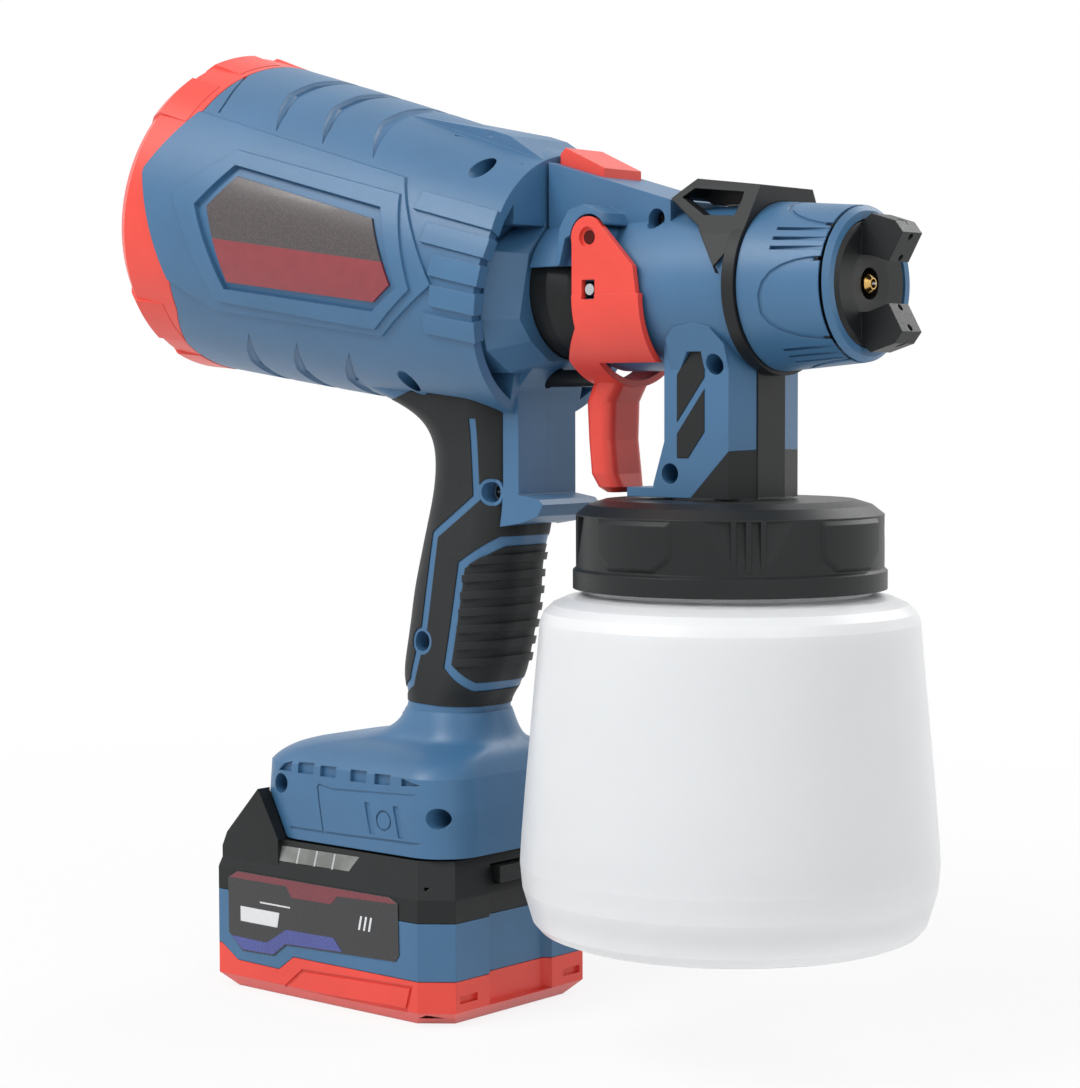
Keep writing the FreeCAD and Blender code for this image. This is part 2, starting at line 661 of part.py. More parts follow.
def gun_screw_places():
    """Where the screws of the spray gun's shell go, as (x, z)."""
    return [(-16.0, 238.6), (7.4, 197.4), (-8.6, 166.9)]


def housing_outer():
    """The outside of the power unit's housing as one body, before it is hollowed."""
    body = barrel_solid(0.0, SPIGOT_START, S.barrel_length)
    near = 18.0
    far = 70.0
    body = body.fuse(barrel_solid(S.panel_rise, SPIGOT_START, 130.0).common(barrel_prism(PANEL, near, far)))
    rise = S.panel_rise + S.frame_rise
    body = body.fuse(barrel_solid(rise, SPIGOT_START, 130.0).common(barrel_prism(FRAME, near, far)))
    dip = barrel_solid(FAR, 0.0, 140.0).cut(barrel_solid(0.2, 0.0, 140.0))
    body = body.cut(dip.common(barrel_prism(RECESS, near, far)))
    fins = barrel_solid(S.fin_rise, 105.0, S.barrel_length + 1.6)
    bars = []
    for angle, start in zip(FIN_ANGLES, FIN_STARTS):
        for a in (angle, -angle):
            bars.append(barrel_bar(a, start, S.barrel_length + 1.6, S.fin_width, 36.8, 60.0))
    body = body.fuse(fins.common(Part.makeCompound(bars)))
    return body.cut(scoops())


def front_recess():
    """The dark crescent between the barrel's front edge and the collar."""
    inner_wall = barrel_radius(S.barrel_length) - S.housing_wall - 0.4
    hollow = spun([(0, BULKHEAD + 4), (inner_wall, BULKHEAD + 4), (inner_wall, 150.0), (0, 150.0)])
    lower = box(-120, 0, -16.0, 16.0, 150, 205)
    top = prism(HOOD, -S.deck_half_width, S.deck_half_width)
    wings = both_sides(WING, 12.0, 27.0)
    return hollow.cut(collar()).cut(lower).cut(top).cut(wings)


def grip_solid(inset):
    """The grip's smooth body, drawn in by inset."""
    return lofted(GRIP_SECTIONS, inset, GRIP_CORNER)


def grip_skin():
    """The layer that the soft covers fill."""
    return grip_solid(-S.cover_proud).cut(grip_solid(S.cover_thickness - S.cover_proud))


def band(points, width):
    """A stripe of constant width along a side-view line, across the whole grip."""
    pieces = []
    for (x0, z0), (x1, z1) in zip(points, points[1:]):
        length = math.hypot(x1 - x0, z1 - z0)
        dx = (x1 - x0) / length * width / 2
        dz = (z1 - z0) / length * width / 2
        pieces.append(prism([(x0 - dz, z0 + dx), (x1 - dz, z1 + dx), (x1 + dz, z1 - dx),
                             (x0 + dz, z0 - dx)], -40, 40))
        pieces.append(across(x1, z1, width / 2, -40, 40))
    return pieces[0].multiFuse(pieces[1:])


def cover_region():
    """The region of the soft covers, with the stripe and the finger pad's frame left bare."""
    region = prism(COVER, -40, 40)
    region = region.cut(band(STRIPE, S.stripe_width))
    region = region.cut(prism(PAD_FRAME, -40, 40))
    for x, z in screw_places():
        region = region.cut(across(x, z, S.screw_well + 1.1, -40, 40))
    return region


def pad_ribs():
    """The ribs of the finger pads."""
    ribs = []
    for i in range(7):
        z = 139.0 - i * 5.2
        start = -87.6 - i * 0.75
        ribs.append(prism([(start, z - 1.3), (-56.0, z + 1.6), (-56.0, z + 3.9), (start, z + 1.0)], -40, 40))
    return grip_solid(-S.cover_proud - S.pad_rib_rise).common(Part.makeCompound(ribs)).cut(grip_solid(0.0))


def housing_fill():
    """Everything inside the power unit's outline, which the bosses and ribs stay within."""
    inset = 0.8
    return barrel_solid(-inset, SPIGOT_START, BULKHEAD + 2).multiFuse([
        prism(HOOD, -S.deck_half_width, S.deck_half_width), grip_solid(inset + S.cover_thickness),
        lofted(foot_sections(), inset, FOOT_CORNER, True),
    ])


def motor_ribs():
    """Two ribs round the motor and one round the turbine case, inside the barrel."""
    ribs = []
    for start, inner in ((S.motor_start + 6.0, S.motor_radius + MOUNT_THICKNESS),
                         (S.fan_case_start + 14.0, S.fan_case_radius + S.bore_gap)):
        outer = barrel_radius(start + 3.0) - 1.0
        ribs.append(spun([(inner, start), (outer, start), (outer, start + 3.0), (inner, start + 3.0)]))
    return Part.makeCompound(ribs)


def battery_channel():
    """The slot under the foot that the battery slides into, as a box."""
    half = S.channel_half_width
    return box(-200.0, -CHANNEL_FRONT, -half, half, 40.0, S.foot_bottom + S.channel_height)


def housing():
    """The power unit's housing, hollowed and with all its openings."""
    wall = S.housing_wall
    foot = lofted(foot_sections(), 0.0, FOOT_CORNER, True)
    foot_top = lofted(foot_top_sections(), 0.0, FOOT_CORNER)
    hood = prism(HOOD, -S.deck_half_width, S.deck_half_width)
    guard = prism(GUARD, -S.guard_half_width, S.guard_half_width)
    body = housing_outer().cut(front_recess())
    body = body.multiFuse([collar(), hood, guard, grip_solid(0.0), foot, foot_top])
    cavity = spun([
        (0, SPIGOT_START - 1), (SPIGOT_RADIUS - wall, SPIGOT_START - 1),
        (SPIGOT_RADIUS - wall, 22.0), (barrel_radius(24) - wall - 0.6, 25.0),
        (barrel_radius(BULKHEAD) - wall, BULKHEAD), (0, BULKHEAD),
    ])
    inner_foot = lofted([(z + (wall if i == 0 else 0), a, b, c) for i,
                         (z, a, b, c) in enumerate(foot_sections())],
                        wall, FOOT_CORNER, True)
    inner_top = lofted(foot_top_sections(), wall + 0.6, FOOT_CORNER)
    switch_room = box(-96.0, -S.guard_front - wall, -SWITCH_HALF, SWITCH_HALF, SWITCH_BOTTOM, SWITCH_TOP)
    body = cut_all(body, [cavity, grip_solid(wall + S.cover_thickness), inner_foot, inner_top, switch_room])
    bosses = [across(x, z, S.boss_radius, -60, 60) for x, z in screw_places()]
    roof = S.foot_bottom + S.channel_height
    half = S.channel_half_width + CHANNEL_WALL
    slide = box(-163.0, 3.0 - CHANNEL_FRONT, -half, half, S.foot_bottom, roof + CHANNEL_WALL)
    inside = Part.makeCompound(bosses + [motor_ribs()]).common(housing_fill())
    body = body.multiFuse([inside, slide.common(foot)])

    cuts = [battery_channel()]
    for x, z in screw_places():
        cuts.append(across(x, z, S.screw_well, -60, SCREW_SEAT))
        cuts.append(across(x, z, S.screw_radius + S.bore_gap, SCREW_SEAT - 1.0, SCREW_END))
    cuts.append(along_x(-100.0, -40.0, S.inlet_radius + S.running_gap, S.inlet_height))
    cuts.append(along_x(-75.0, -60.0, S.plunger_radius + S.running_gap, S.plunger_height))
    cuts.append(box(-101.5, -92.5, -BLADE_HALF, BLADE_HALF, S.foot_bottom, roof + CHANNEL_WALL + 1.0))
    cap_zone = barrel_prism(CAP_EDGE + [(-30, -70), (-30, 70)], 0.0, 80.0)
    spigot = spun([(0, -30), (SPIGOT_RADIUS, -30), (SPIGOT_RADIUS, 30), (0, 30)])
    cuts.append(cap_zone.cut(spigot))
    cuts += air_slots()
    cuts += foot_vents()
    face = -S.joint_back - S.joint_gap / 2
    cuts.append(box(face, 0.0, -60.0, 60.0, 150.0, 280.0))
    skin = grip_solid(-2.0).cut(grip_solid(S.cover_thickness - S.cover_proud))
    cuts += [skin.common(cover_region()), skin.common(prism(PAD, -40, 40))]
    return cut_all(body, cuts)


def foot_vents():
    """The row of shallow vents on the foot's shoulder, on both sides."""
    vents = []
    for outline in FOOT_VENTS:
        vents.append(prism(outline, -40.0, -VENT_FLOOR))
        vents.append(prism(outline, VENT_FLOOR, 40.0))
    return vents


housing_right, housing_left = halves(housing())
shaped("housing_right", solid_of(housing_right))
shaped("housing_left", solid_of(housing_left))

# Soft covers on the grip, the finger pads and the plates in the side panels
cover_right, cover_left = halves(grip_skin().common(cover_region()))
shaped("grip_cover_right", solid_of(cover_right))
shaped("grip_cover_left", solid_of(cover_left))
shaped("finger_pads", solid_of(grip_skin().fuse(pad_ribs()).common(prism(PAD, -40, 40))))
plates = barrel_solid(0.2 + S.label_thickness, 30.0, 120.0).cut(barrel_solid(0.2, 20.0, 130.0))
shaped("label_plates", solid_of(plates.common(barrel_prism(LABEL, 20.0, 70.0))))

# Motor, turbine and air duct, along the barrel's axis
CAN_END = D.motor_start + D.motor_length
LIP = as_dim(1.0)
SEAT = D.bearing_radius + D.bore_gap
keep(turned("motor_can", "barrel", [
    (D.motor_radius - D.can_wall, D.motor_start), (D.motor_radius, D.motor_start), (D.motor_radius, CAN_END),
    (D.shaft_radius + 3.5, CAN_END), (D.shaft_radius + 3.5, CAN_END - D.can_wall),
    (D.motor_radius - D.can_wall, CAN_END - D.can_wall),
]), "motor_can")
CAP_BACK = D.motor_start - D.bearing_width - LIP
keep(turned("motor_end_cap", "barrel", [
    (SEAT, CAP_BACK), (SEAT + 2.7, CAP_BACK), (SEAT + 2.7, D.motor_start - 2.4),
    (D.motor_radius, D.motor_start - 2.4), (D.motor_radius, D.motor_start),
    (D.shaft_radius + 1.5, D.motor_start),
    (D.shaft_radius + 1.5, D.motor_start - LIP), (SEAT, D.motor_start - LIP),
]), "motor_end_cap")
SHAFT_BORE = D.shaft_radius + D.bore_gap
keep(sleeve("rear_bearing", "barrel", SHAFT_BORE, D.bearing_radius, CAP_BACK, D.bearing_width),
     "rear_bearing")
keep(sleeve("front_bearing", "barrel", SHAFT_BORE, D.bearing_radius, D.fan_case_start, D.bearing_width),
     "front_bearing")
FAN_FRONT = D.fan_case_start + D.fan_case_length
FAN_START = D.fan_case_start + 13
FAN_LIP = D.fan_case_start + D.bearing_width
INLET_COUNT = 8


def fan_case():
    """The turbine case: a cup with a bearing seat and air inlets at the back and a cone in front."""
    wall = D.fan_case_wall
    cone = D.fan_case_start + 26
    body = turned("fan_housing", "barrel", [
        (SEAT, D.fan_case_start), (D.fan_case_radius, D.fan_case_start), (D.fan_case_radius, cone),
        (D.duct_radius + wall, FAN_FRONT), (D.duct_radius, FAN_FRONT), (D.fan_case_radius - wall, cone - 0.6),
        (D.fan_case_radius - wall, D.fan_case_start + wall), (SEAT + 2.4, D.fan_case_start + wall),
        (SEAT + 2.4, FAN_LIP + 1.2), (D.shaft_radius + 1.5, FAN_LIP + 1.2), (D.shaft_radius + 1.5, FAN_LIP),
        (SEAT, FAN_LIP),
    ])
    sketch = new_sketch(body, "fan_inlet_section", "XY_Plane")
    distance = (D.fan_case_radius + SEAT) / 2
    radius = (D.fan_case_radius - SEAT) / 5
    sketch.addGeometry(Part.Circle(Vector(distance.value, 0, 0), Vector(0, 0, 1), radius.value), False)
    sketch.addConstraint(Sketcher.Constraint("PointOnObject", 0, 3, -1))
    sketch.addConstraint(Sketcher.Constraint("DistanceX", -1, 1, 0, 3, distance.value))
    sketch.addConstraint(Sketcher.Constraint("Radius", 0, radius.value))
    sketch.renameConstraint(1, "distance")
    sketch.renameConstraint(2, "size")
    sketch.setExpression("Constraints.distance", distance.text)
    sketch.setExpression("Constraints.size", radius.text)
    pocket = body.newObject("PartDesign::Pocket", "fan_inlet")
    pocket.Profile = sketch
    pocket.Reversed = True
    bind(pocket, "Length", D.fan_case_start + wall + 0.5)
    sketch.Visibility = False
    pattern = body.newObject("PartDesign::PolarPattern", "fan_inlets")
    pattern.Originals = [pocket]
    pattern.Axis = (next(f for f in body.Origin.OriginFeatures if f.Role == "Z_Axis"), [""])
    pattern.Angle = 360
    pattern.Occurrences = INLET_COUNT
    body.Tip = pattern
    return body


keep(fan_case(), "fan_housing")
keep(turned("motor_shaft", "barrel", [
    (0, CAP_BACK), (D.shaft_radius, CAP_BACK), (D.shaft_radius, FAN_START + D.fan_width + 3),
    (0, FAN_START + D.fan_width + 3),
]), "motor_shaft")
keep(sleeve("armature", "barrel", D.shaft_radius, D.armature_radius, D.motor_start + 7, D.motor_length
            - 14), "armature")


def impeller():
    """The turbine wheel: a hub, a back disc and nine blades."""
    start = FAN_START.value
    width = S.fan_width
    bore = S.shaft_radius
    wheel = spun([(bore, start), (S.fan_radius, start), (S.fan_radius, start + 1.5), (6.5, start + 3.5),
                  (6.5, start + width), (bore, start + width)])
    blades = []
    for i in range(9):
        blade = Part.makeBox(S.fan_radius - 6.0, 1.2, width - 1.0, Vector(5.5, -0.6, start + 0.5))
        blade.rotate(Vector(15.0, 0, 0), Vector(0, 0, 1), 25.0)
        blade.rotate(Vector(), Vector(0, 0, 1), i * 40.0)
        blade.Placement = BARREL_SEAT.multiply(blade.Placement)
        blades.append(blade)
    rim = spun([(bore + 1, start), (S.fan_radius, start), (S.fan_radius, start + width),
                (bore + 1, start + width)])
    return wheel.fuse(Part.makeCompound(blades).common(rim))


shaped("impeller", solid_of(impeller()))
MOUNT_START = D.motor_start + 4
mounts = [
    sleeve("rear_mount", "barrel", D.motor_radius, D.motor_radius + MOUNT_THICKNESS, MOUNT_START, as_dim(7)),
    sleeve("front_mount", "barrel", D.bearing_radius + 3, D.motor_radius - 3, CAN_END, D.fan_case_start
           - CAN_END),
]
keep(group("motor_mounts", mounts), "motor_mounts")


def air_duct():
    """The tube from the turbine case to the collar."""
    end = -S.joint_back - S.joint_gap / 2 - S.inlet_plug - 1.4
    outer = S.inlet_radius + S.running_gap - S.bore_gap
    tube = along_x(-95.0, end, outer, S.inlet_height).cut(along_x(-96.0, end + 1, S.duct_radius,
                                                                  S.inlet_height))
    return tube.cut(barrel_solid(FAR, 0.0, FAN_FRONT.value))


shaped("air_duct", solid_of(air_duct()))
SEAL_START = -1 * (D.joint_back + D.joint_gap / 2 + D.inlet_plug + 1.4)
keep(sleeve("duct_seal", "inlet", D.duct_radius, D.inlet_radius, SEAL_START, as_dim(1.2)), "duct_seal")

# Electrics in the handle and the foot
ROOF = D.foot_bottom + D.channel_height + CHANNEL_WALL
BOARD_LOW = ROOF + 3
board_parts = [
    block("board", (as_dim(-144.5), as_dim(-20), BOARD_LOW), (as_dim(42), as_dim(40), as_dim(1.6))),
    block("board_coil", (as_dim(-132), as_dim(-12), BOARD_LOW + 1.5), (as_dim(12), as_dim(12), as_dim(6))),
    block("board_sink", (as_dim(-143), as_dim(2), BOARD_LOW + 1.5), (as_dim(8), as_dim(12), as_dim(5))),
]
keep(joined("control_board", board_parts), "control_board")


def switch_body():
    """The trigger switch: a block with a bore for the plunger and its spring."""
    gap = 0.4
    front = -S.guard_front - S.housing_wall - gap - 3.0
    case = box(front - 21.5, front, gap - SWITCH_HALF, SWITCH_HALF - gap, SWITCH_BOTTOM + gap, SWITCH_TOP
               - gap)
    radius = S.plunger_radius + S.running_gap
    return case.cut(along_x(front - 20.5, front + 1.0, radius, S.plunger_height))


shaped("trigger_switch", solid_of(switch_body()))
PLUNGER_FRONT = -1 * (D.lever_back + D.running_gap)
PLUNGER_LENGTH = as_dim(29.4)
plunger = rod("switch_plunger", (PLUNGER_FRONT - PLUNGER_LENGTH, as_dim(0), D.plunger_height),
              D.plunger_radius,
              PLUNGER_LENGTH, "x")
keep(plunger, "switch_plunger")
SPRING_FRONT = PLUNGER_FRONT - PLUNGER_LENGTH - D.plunger_travel - D.running_gap
spring_rod = rod("spring_outer", (SPRING_FRONT - 5, as_dim(0), D.plunger_height), D.plunger_radius,
                 as_dim(5), "x")
spring_hole = rod("spring_inner", (SPRING_FRONT - 6, as_dim(0), D.plunger_height), D.plunger_radius - 0.7,
                  as_dim(7), "x")
keep(cut_from("plunger_spring", spring_rod, spring_hole), "plunger_spring")
BLADE_X = as_dim(-101)
keep(block("terminal_block", (BLADE_X, -1 * as_dim(BLADE_HALF) + 0.5, ROOF + 0.4),
           (as_dim(8), as_dim(2 * BLADE_HALF - 1), as_dim(6))), "terminal_block")
blades = [
    block(f"blade_{i}", (BLADE_X + 1, as_dim(8.0 * (i - 1) - 0.4), D.foot_bottom + 1.5),
          (as_dim(6.5), as_dim(0.8), ROOF + 0.4 - D.foot_bottom - 1.5))
    for i in range(3)
]
keep(group("terminal_blades", blades), "terminal_blades")


def case_screws(places, seat, end):
    """Screws across the two halves of a shell: a head in each well and a shank into the boss."""
    screws = []
    for x, z in places:
        head = across(x, z, S.screw_head_radius, seat - 2.4, seat)
        screws.append(head.fuse(across(x, z, S.screw_radius, seat - 0.5, end - 0.5)))
    return Part.makeCompound(screws)


shaped("housing_screws", case_screws(screw_places(), SCREW_SEAT, SCREW_END))
leads = [
    rod(f"lead_{i}", (as_dim(-94.8), as_dim(6.0 * i - 3.0), ROOF + 6.4), as_dim(1.0), as_dim(SWITCH_BOTTOM)
        - ROOF - 6.4, "z")
    for i in range(2)
]
keep(group("motor_leads", leads), "motor_leads")


# Rear cap and intake filter
def rear_cap():
    """The cap: a domed rear with vents, a shoulder with grip pads and a skirt over the spigot."""
    wall = S.cap_wall
    back = -S.cap_reach
    rim = barrel_radius(0)
    bulge = [(0, back), (S.cap_rear_radius, back), (rim - 2.6, back + 8.5), (rim, 0.0)]
    outer = spun(bulge + [(0, 0)]).fuse(barrel_solid(0.0, 0.0, 28.0))
    pads = []
    for angle in PAD_ANGLES:
        pads.append(barrel_bar(angle, back + 1.5, 12.0, 17.0, 30.0, 70.0))
    grown = spun([(0, back), (S.cap_rear_radius + S.cap_pad_rise, back),
                  (rim - 2.6 + S.cap_pad_rise, back + 8.5),
                  (rim + S.cap_pad_rise, 0.0), (barrel_radius(14), 14.0), (0, 14.0)])
    outer = outer.fuse(grown.common(Part.makeCompound(pads)))
    inner = SPIGOT_RADIUS + S.running_gap
    hollow = spun([(0, back + wall), (S.cap_rear_radius - 1.4, back + wall), (inner, -1.0), (inner, 30.0),
                   (0, 30.0)])
    vents = []
    for i in range(-4, 5):
        half = math.sqrt(max(0.0, 33.0 ** 2 - (i * 7.0) ** 2))
        slot = Part.makeBox(2.8, 2 * half, 10.0, Vector(i * 7.0 - 1.4, -half, back - 2.0))
        slot.Placement = BARREL_SEAT.multiply(slot.Placement)
        vents.append(slot)
    zone = barrel_prism(CAP_EDGE + [(-30, -70), (-30, 70)], 0.0, 80.0)
    zone.translate(on_barrel(-S.running_gap, 0) - on_barrel(0, 0))
    whole = cut_all(outer, [hollow] + vents)
    return whole.common(zone.Solids[0].fuse(zone.Solids[1]))


shaped("rear_cap", solid_of(rear_cap()))
keep(turned("air_filter", "barrel", [
    (0, -1 * D.cap_reach + D.cap_wall), (D.filter_radius, -1 * D.cap_reach + D.cap_wall),
    (D.filter_radius, -1 * D.cap_reach + D.cap_wall + D.filter_thickness),
    (0, -1 * D.cap_reach + D.cap_wall + D.filter_thickness),
]), "air_filter")


# Spray gun
DECK = [(-S.joint_back + 0.7, 224.0), (-S.joint_back + 0.7, S.deck_rear_height), (-28.6, 249.0),
        (-S.deck_front_back, S.deck_front_height), (-S.deck_front_back, 224.0)]
ARCH = [(-43.6, 226.0), (-42.0, 236.6), (-38.6, 241.6), (-33.0, 243.0), (-27.4, 240.4), (-21.6, 228.6),
        (-18.6, 224.0),
        (-20.6, 222.0), (-22.6, 222.0), (-40.0, 226.0)]
LEG_PLAN = [(-S.leg_back, -S.leg_half_width), (S.leg_front, -S.leg_half_width),
            (S.leg_nose, -S.spine_half_width),
            (S.leg_nose, S.spine_half_width), (S.leg_front, S.leg_half_width),
            (-S.leg_back, S.leg_half_width)]
INSERTS = [
    [(-1.4, 201.0), (3.5, 201.0), (3.5, 193.9), (-6.0, 181.5), (-6.0, 194.6)],
    [(3.5, 190.6), (3.5, 178.8), (-2.2, 171.4), (-6.0, 171.4), (-6.0, 178.1)],
]
INSERT_DEPTH = 1.0
PIVOT_X = -S.pivot_back
CHEEK_TOP = 5.9
PIPE_RADIUS = 5.0
NECK_DEPTH = 3.9
CORE_RADIUS = 7.0


def nozzle_tube(x0, x1, outer, inner):
    """A tube round the spray axis."""
    axis = S.nozzle_height
    return along_x(x0, x1, outer, axis).cut(along_x(x0 - 1, x1 + 1, inner, axis))


def leg_solid(inset):
    """The leg from the tube down to the saddle, drawn in by inset."""
    t = inset
    outline = [(x + (t if x < 0 else -t), y - math.copysign(t, y)) for x, y in LEG_PLAN]
    top = 212.0
    leg = plan(outline, S.lid_top + 0.5 + t, top)
    heel = prism([(-40.0, 176.0), (-S.leg_back + t, 176.0), (-14.5 + t, 163.9), (-14.5 + t, 150.0),
                  (-40.0, 150.0)], -40, 40)
    back = plan([(-15.0, -S.leg_half_width + t), (0.0, -S.leg_half_width + t), (0.0, S.leg_half_width - t),
                 (-15.0, S.leg_half_width - t)], S.lid_top + 0.5 + t, 176.0)
    return leg.fuse(back.cut(heel))


SADDLE = [(30.0, S.saddle_front_height), (S.leg_front, 173.4), (-1.4, 160.2), (-1.4, 150.0), (30.0, 150.0)]


GUN_SEAT = -6.0
LATCH = [(-55.3, 252.0), (-55.3, 259.6), (-53.4, 261.3), (-38.7, 254.6), (-38.7, 249.0)]
LATCH_HALF = 8.5


def gun_shell():
    """The spray gun's shell: tube, deck, trigger arches, leg and the small shelf over the cup."""
    wall = S.shell_wall
    rear = -S.joint_back + S.joint_gap / 2
    tube = along_x(rear, S.tube_front, S.tube_radius, S.nozzle_height)
    deck = prism(DECK, -S.deck_half_width, S.deck_half_width)
    arch = both_sides(ARCH, 12.0, S.cheek_outer - 0.4)
    shelf = box(-24.0, 0.0, -S.leg_half_width, S.leg_half_width, S.lid_top + 0.6, S.lid_top + 3.4)
    shelf = shelf.cut(prism([(-30.0, 150), (-30.0, 159.0), (-26.0, 159.0), (-26.0, 150)], -40, 40))
    wedge = prism([(-8.0, 190.0), (-8.0, 204.6), (-4.6, 207.8), (2.0, 209.0), (8.0, 207.6),
                   (S.leg_front, 203.0),
                   (S.leg_front, 190.0)], -21.0, 21.0)
    slope = [Vector(0, 21.0, 209.0), Vector(0, 16.6, 196.0), Vector(0, 16.6, 180.0), Vector(0, -16.6, 180.0),
             Vector(0, -16.6, 196.0), Vector(0, -21.0, 209.0)]
    taper = Part.Face(Part.makePolygon([p + Vector(-20, 0, 0) for p in slope
                                        + slope[:1]])).extrude(Vector(50, 0, 0))
    body = tube.multiFuse([deck, arch, leg_solid(0.0), shelf, wedge.common(taper)])
    body = body.cut(prism(SADDLE, -40, 40))

    swing = across(PIVOT_X, S.pivot_height, CHEEK_TOP + 0.7, -60, 60)
    swing = swing.fuse(prism([(PIVOT_X - CHEEK_TOP - 2.6, S.pivot_height), (-42.4, 225.0), (-42.4, 215.0),
                              (-10.0, 215.0),
                              (-13.8, 224.9), (PIVOT_X + 3.6, S.pivot_height + 5.2)], -60, 60))
    middle = prism([(-60, 200), (-60, 260), (0, 260), (0, 200)], 0.4 - S.cheek_inner, S.cheek_inner - 0.4)
    pockets = swing.cut(middle)
    inside_arch = swing.common(both_sides([(-60, 200), (-60, 260), (0, 260), (0, 200)], S.deck_half_width,
                                          40.0))
    pockets = pockets.fuse(inside_arch.cut(tube))
    lower = box(rear - 1, -S.tube_cut_back, -40, 40, 180.0, S.tube_cut_height)
    bore = along_x(rear - 1, S.tube_front + 1, S.tube_radius - wall, S.nozzle_height)
    deck_room = prism([(rear - 1, 236.0), (rear - 1, S.deck_rear_height - 4.4), (-28.6, 246.6),
                       (-S.deck_front_back - wall, S.deck_front_height - wall),
                       (-S.deck_front_back - wall, 236.0)],
                      wall - S.deck_half_width, S.deck_half_width - wall)
    leg_room = leg_solid(wall).cut(box(-40, 40, -40, 40, 150, S.lid_top + 3.4))
    body = cut_all(body, [pockets, lower, bore, deck_room, leg_room])

    fill = tube.multiFuse([deck, leg_solid(0.6)])
    bosses = [across(x, z, S.boss_radius, -40, 40) for x, z in gun_screw_places()]
    room = along_x(-60, 40, CORE_RADIUS + 6.0, S.nozzle_height)
    body = body.fuse(Part.makeCompound(bosses).common(fill.cut(room)))
    stubs = across(PIVOT_X, S.pivot_height, 4.2, -S.cheek_inner + 0.5, S.cheek_inner - 0.5)
    body = body.fuse(stubs.cut(along_x(-60, 40, S.tube_radius - wall, S.nozzle_height)))

    cuts = [across(PIVOT_X, S.pivot_height, S.pin_radius + S.bore_gap, -40, 40)]
    cuts.append(upright(0, 0, PIPE_RADIUS + 0.1, 150.0, S.nozzle_height))
    cuts.append(upright(0, 0, PIPE_RADIUS + 3.2, 150.0, S.lid_top + 3.5))
    cuts.append(along_x(S.tube_front - NECK_DEPTH, 40.0, S.tube_radius - wall, S.nozzle_height))
    cuts.append(box(-41.0, -27.6, -40, 40, S.nozzle_height - 2.4, S.nozzle_height + 2.4))
    for outline in INSERTS:
        cuts.append(both_sides(outline, S.leg_half_width - INSERT_DEPTH, 40.0))
    for x, z in gun_screw_places():
        cuts.append(across(x, z, S.screw_head_radius + 0.1, -60, GUN_SEAT))
        cuts.append(across(x, z, S.screw_radius + S.bore_gap, GUN_SEAT - 1.0, SCREW_END))
    cuts.append(box(LATCH[0][0] - 0.4, LATCH[-1][0] + 0.4, -LATCH_HALF - 0.4, LATCH_HALF + 0.4, 240.0, 270.0))
    cuts.append(spine_solid(0.2))
    cuts.append(box(-60, 60, -40, 40, 100, S.lid_top + 0.7))
    return cut_all(body, cuts)


def spine_solid(grow):
    """The black spine let into the leg's front."""
    half = S.spine_half_width + grow
    return box(S.leg_nose - 3.0 - grow, S.leg_nose + 0.3, -half, half, S.lid_top, 207.0)


gun_right, gun_left = halves(gun_shell())
shaped("gun_shell_right", solid_of(gun_right))
shaped("gun_shell_left", solid_of(gun_left))
insert_depths = (S.leg_half_width - INSERT_DEPTH, S.leg_half_width + 0.2)
shaped("leg_inserts", Part.makeCompound([solid for outline in INSERTS
                                         for solid in both_sides(outline, *insert_depths).Solids]))
shaped("gun_screws", case_screws(gun_screw_places(), GUN_SEAT, SCREW_END))
keep(rod("trigger_pin", (-1 * D.pivot_back, -1 * (D.cheek_outer - 1.0), D.pivot_height), D.pin_radius,
         (D.cheek_outer - 1.0) * 2, "y"), "trigger_pin")


def fluid_body():
    """The black inner body: threaded neck, needle tube, paint pipe, saddle, spine and the plate over the cup."""
    neck_start = S.tube_front - NECK_DEPTH
    neck_end = S.air_cap_front - 6.0
    neck = nozzle_tube(neck_start, neck_end, S.neck_radius, S.neck_radius - 2.4)
    flange = nozzle_tube(neck_start, S.tube_front - 0.2, S.tube_radius - S.shell_wall, S.neck_radius - 2.4)
    core = along_x(-24.0, neck_end - 10.0, CORE_RADIUS, S.nozzle_height)
    web = box(neck_start, neck_start + 3.0, -2.0, 2.0, S.nozzle_height - 19.0, S.nozzle_height + 19.0)
    arms = box(neck_start, neck_start + 3.0, -19.0, 19.0, S.nozzle_height - 2.0, S.nozzle_height + 2.0)
    pipe = upright(0, 0, PIPE_RADIUS, S.mouth_top + 1.5, S.nozzle_height)
    plate = upright(0, 0, S.mouth_radius - 0.6, S.mouth_top + 1.5, S.lid_top - 6.5)
    collar_neck = upright(0, 0, S.ring_hole - S.running_gap, S.mouth_top + 2, S.lid_top + 0.6)
    saddle = leg_solid(0.0).fuse(plan(LEG_PLAN, S.lid_top + 0.5, 180.0)).common(prism(SADDLE, -40, 40))
    saddle = saddle.cut(leg_solid(S.shell_wall).cut(box(-40, 40, -40, 40, 150, S.lid_top + 3.4)))
    foot = upright(0, 0, PIPE_RADIUS + 3.0, S.lid_top, S.lid_top + 3.4)
    strut = box(0.0, S.leg_nose - 2.0, -1.2, 1.2, S.lid_top, 190.0)
    body = neck.multiFuse([flange, core, web, arms, pipe, plate, collar_neck, saddle, foot,
                           spine_solid(0.0), strut])
    cuts = [along_x(-30.0, 60.0, S.needle_radius + 0.3, S.nozzle_height)]
    cuts.append(along_x(neck_end - 20.0, 60.0, 4.05, S.nozzle_height))
    cuts.append(along_x(-30.0, -14.0, 3.3, S.nozzle_height))
    cuts.append(upright(0, 0, S.suction_bore, S.mouth_top, S.nozzle_height))
    cuts.append(upright(0, 0, S.suction_radius + S.bore_gap, S.mouth_top, 168.0))
    return cut_all(body, cuts)


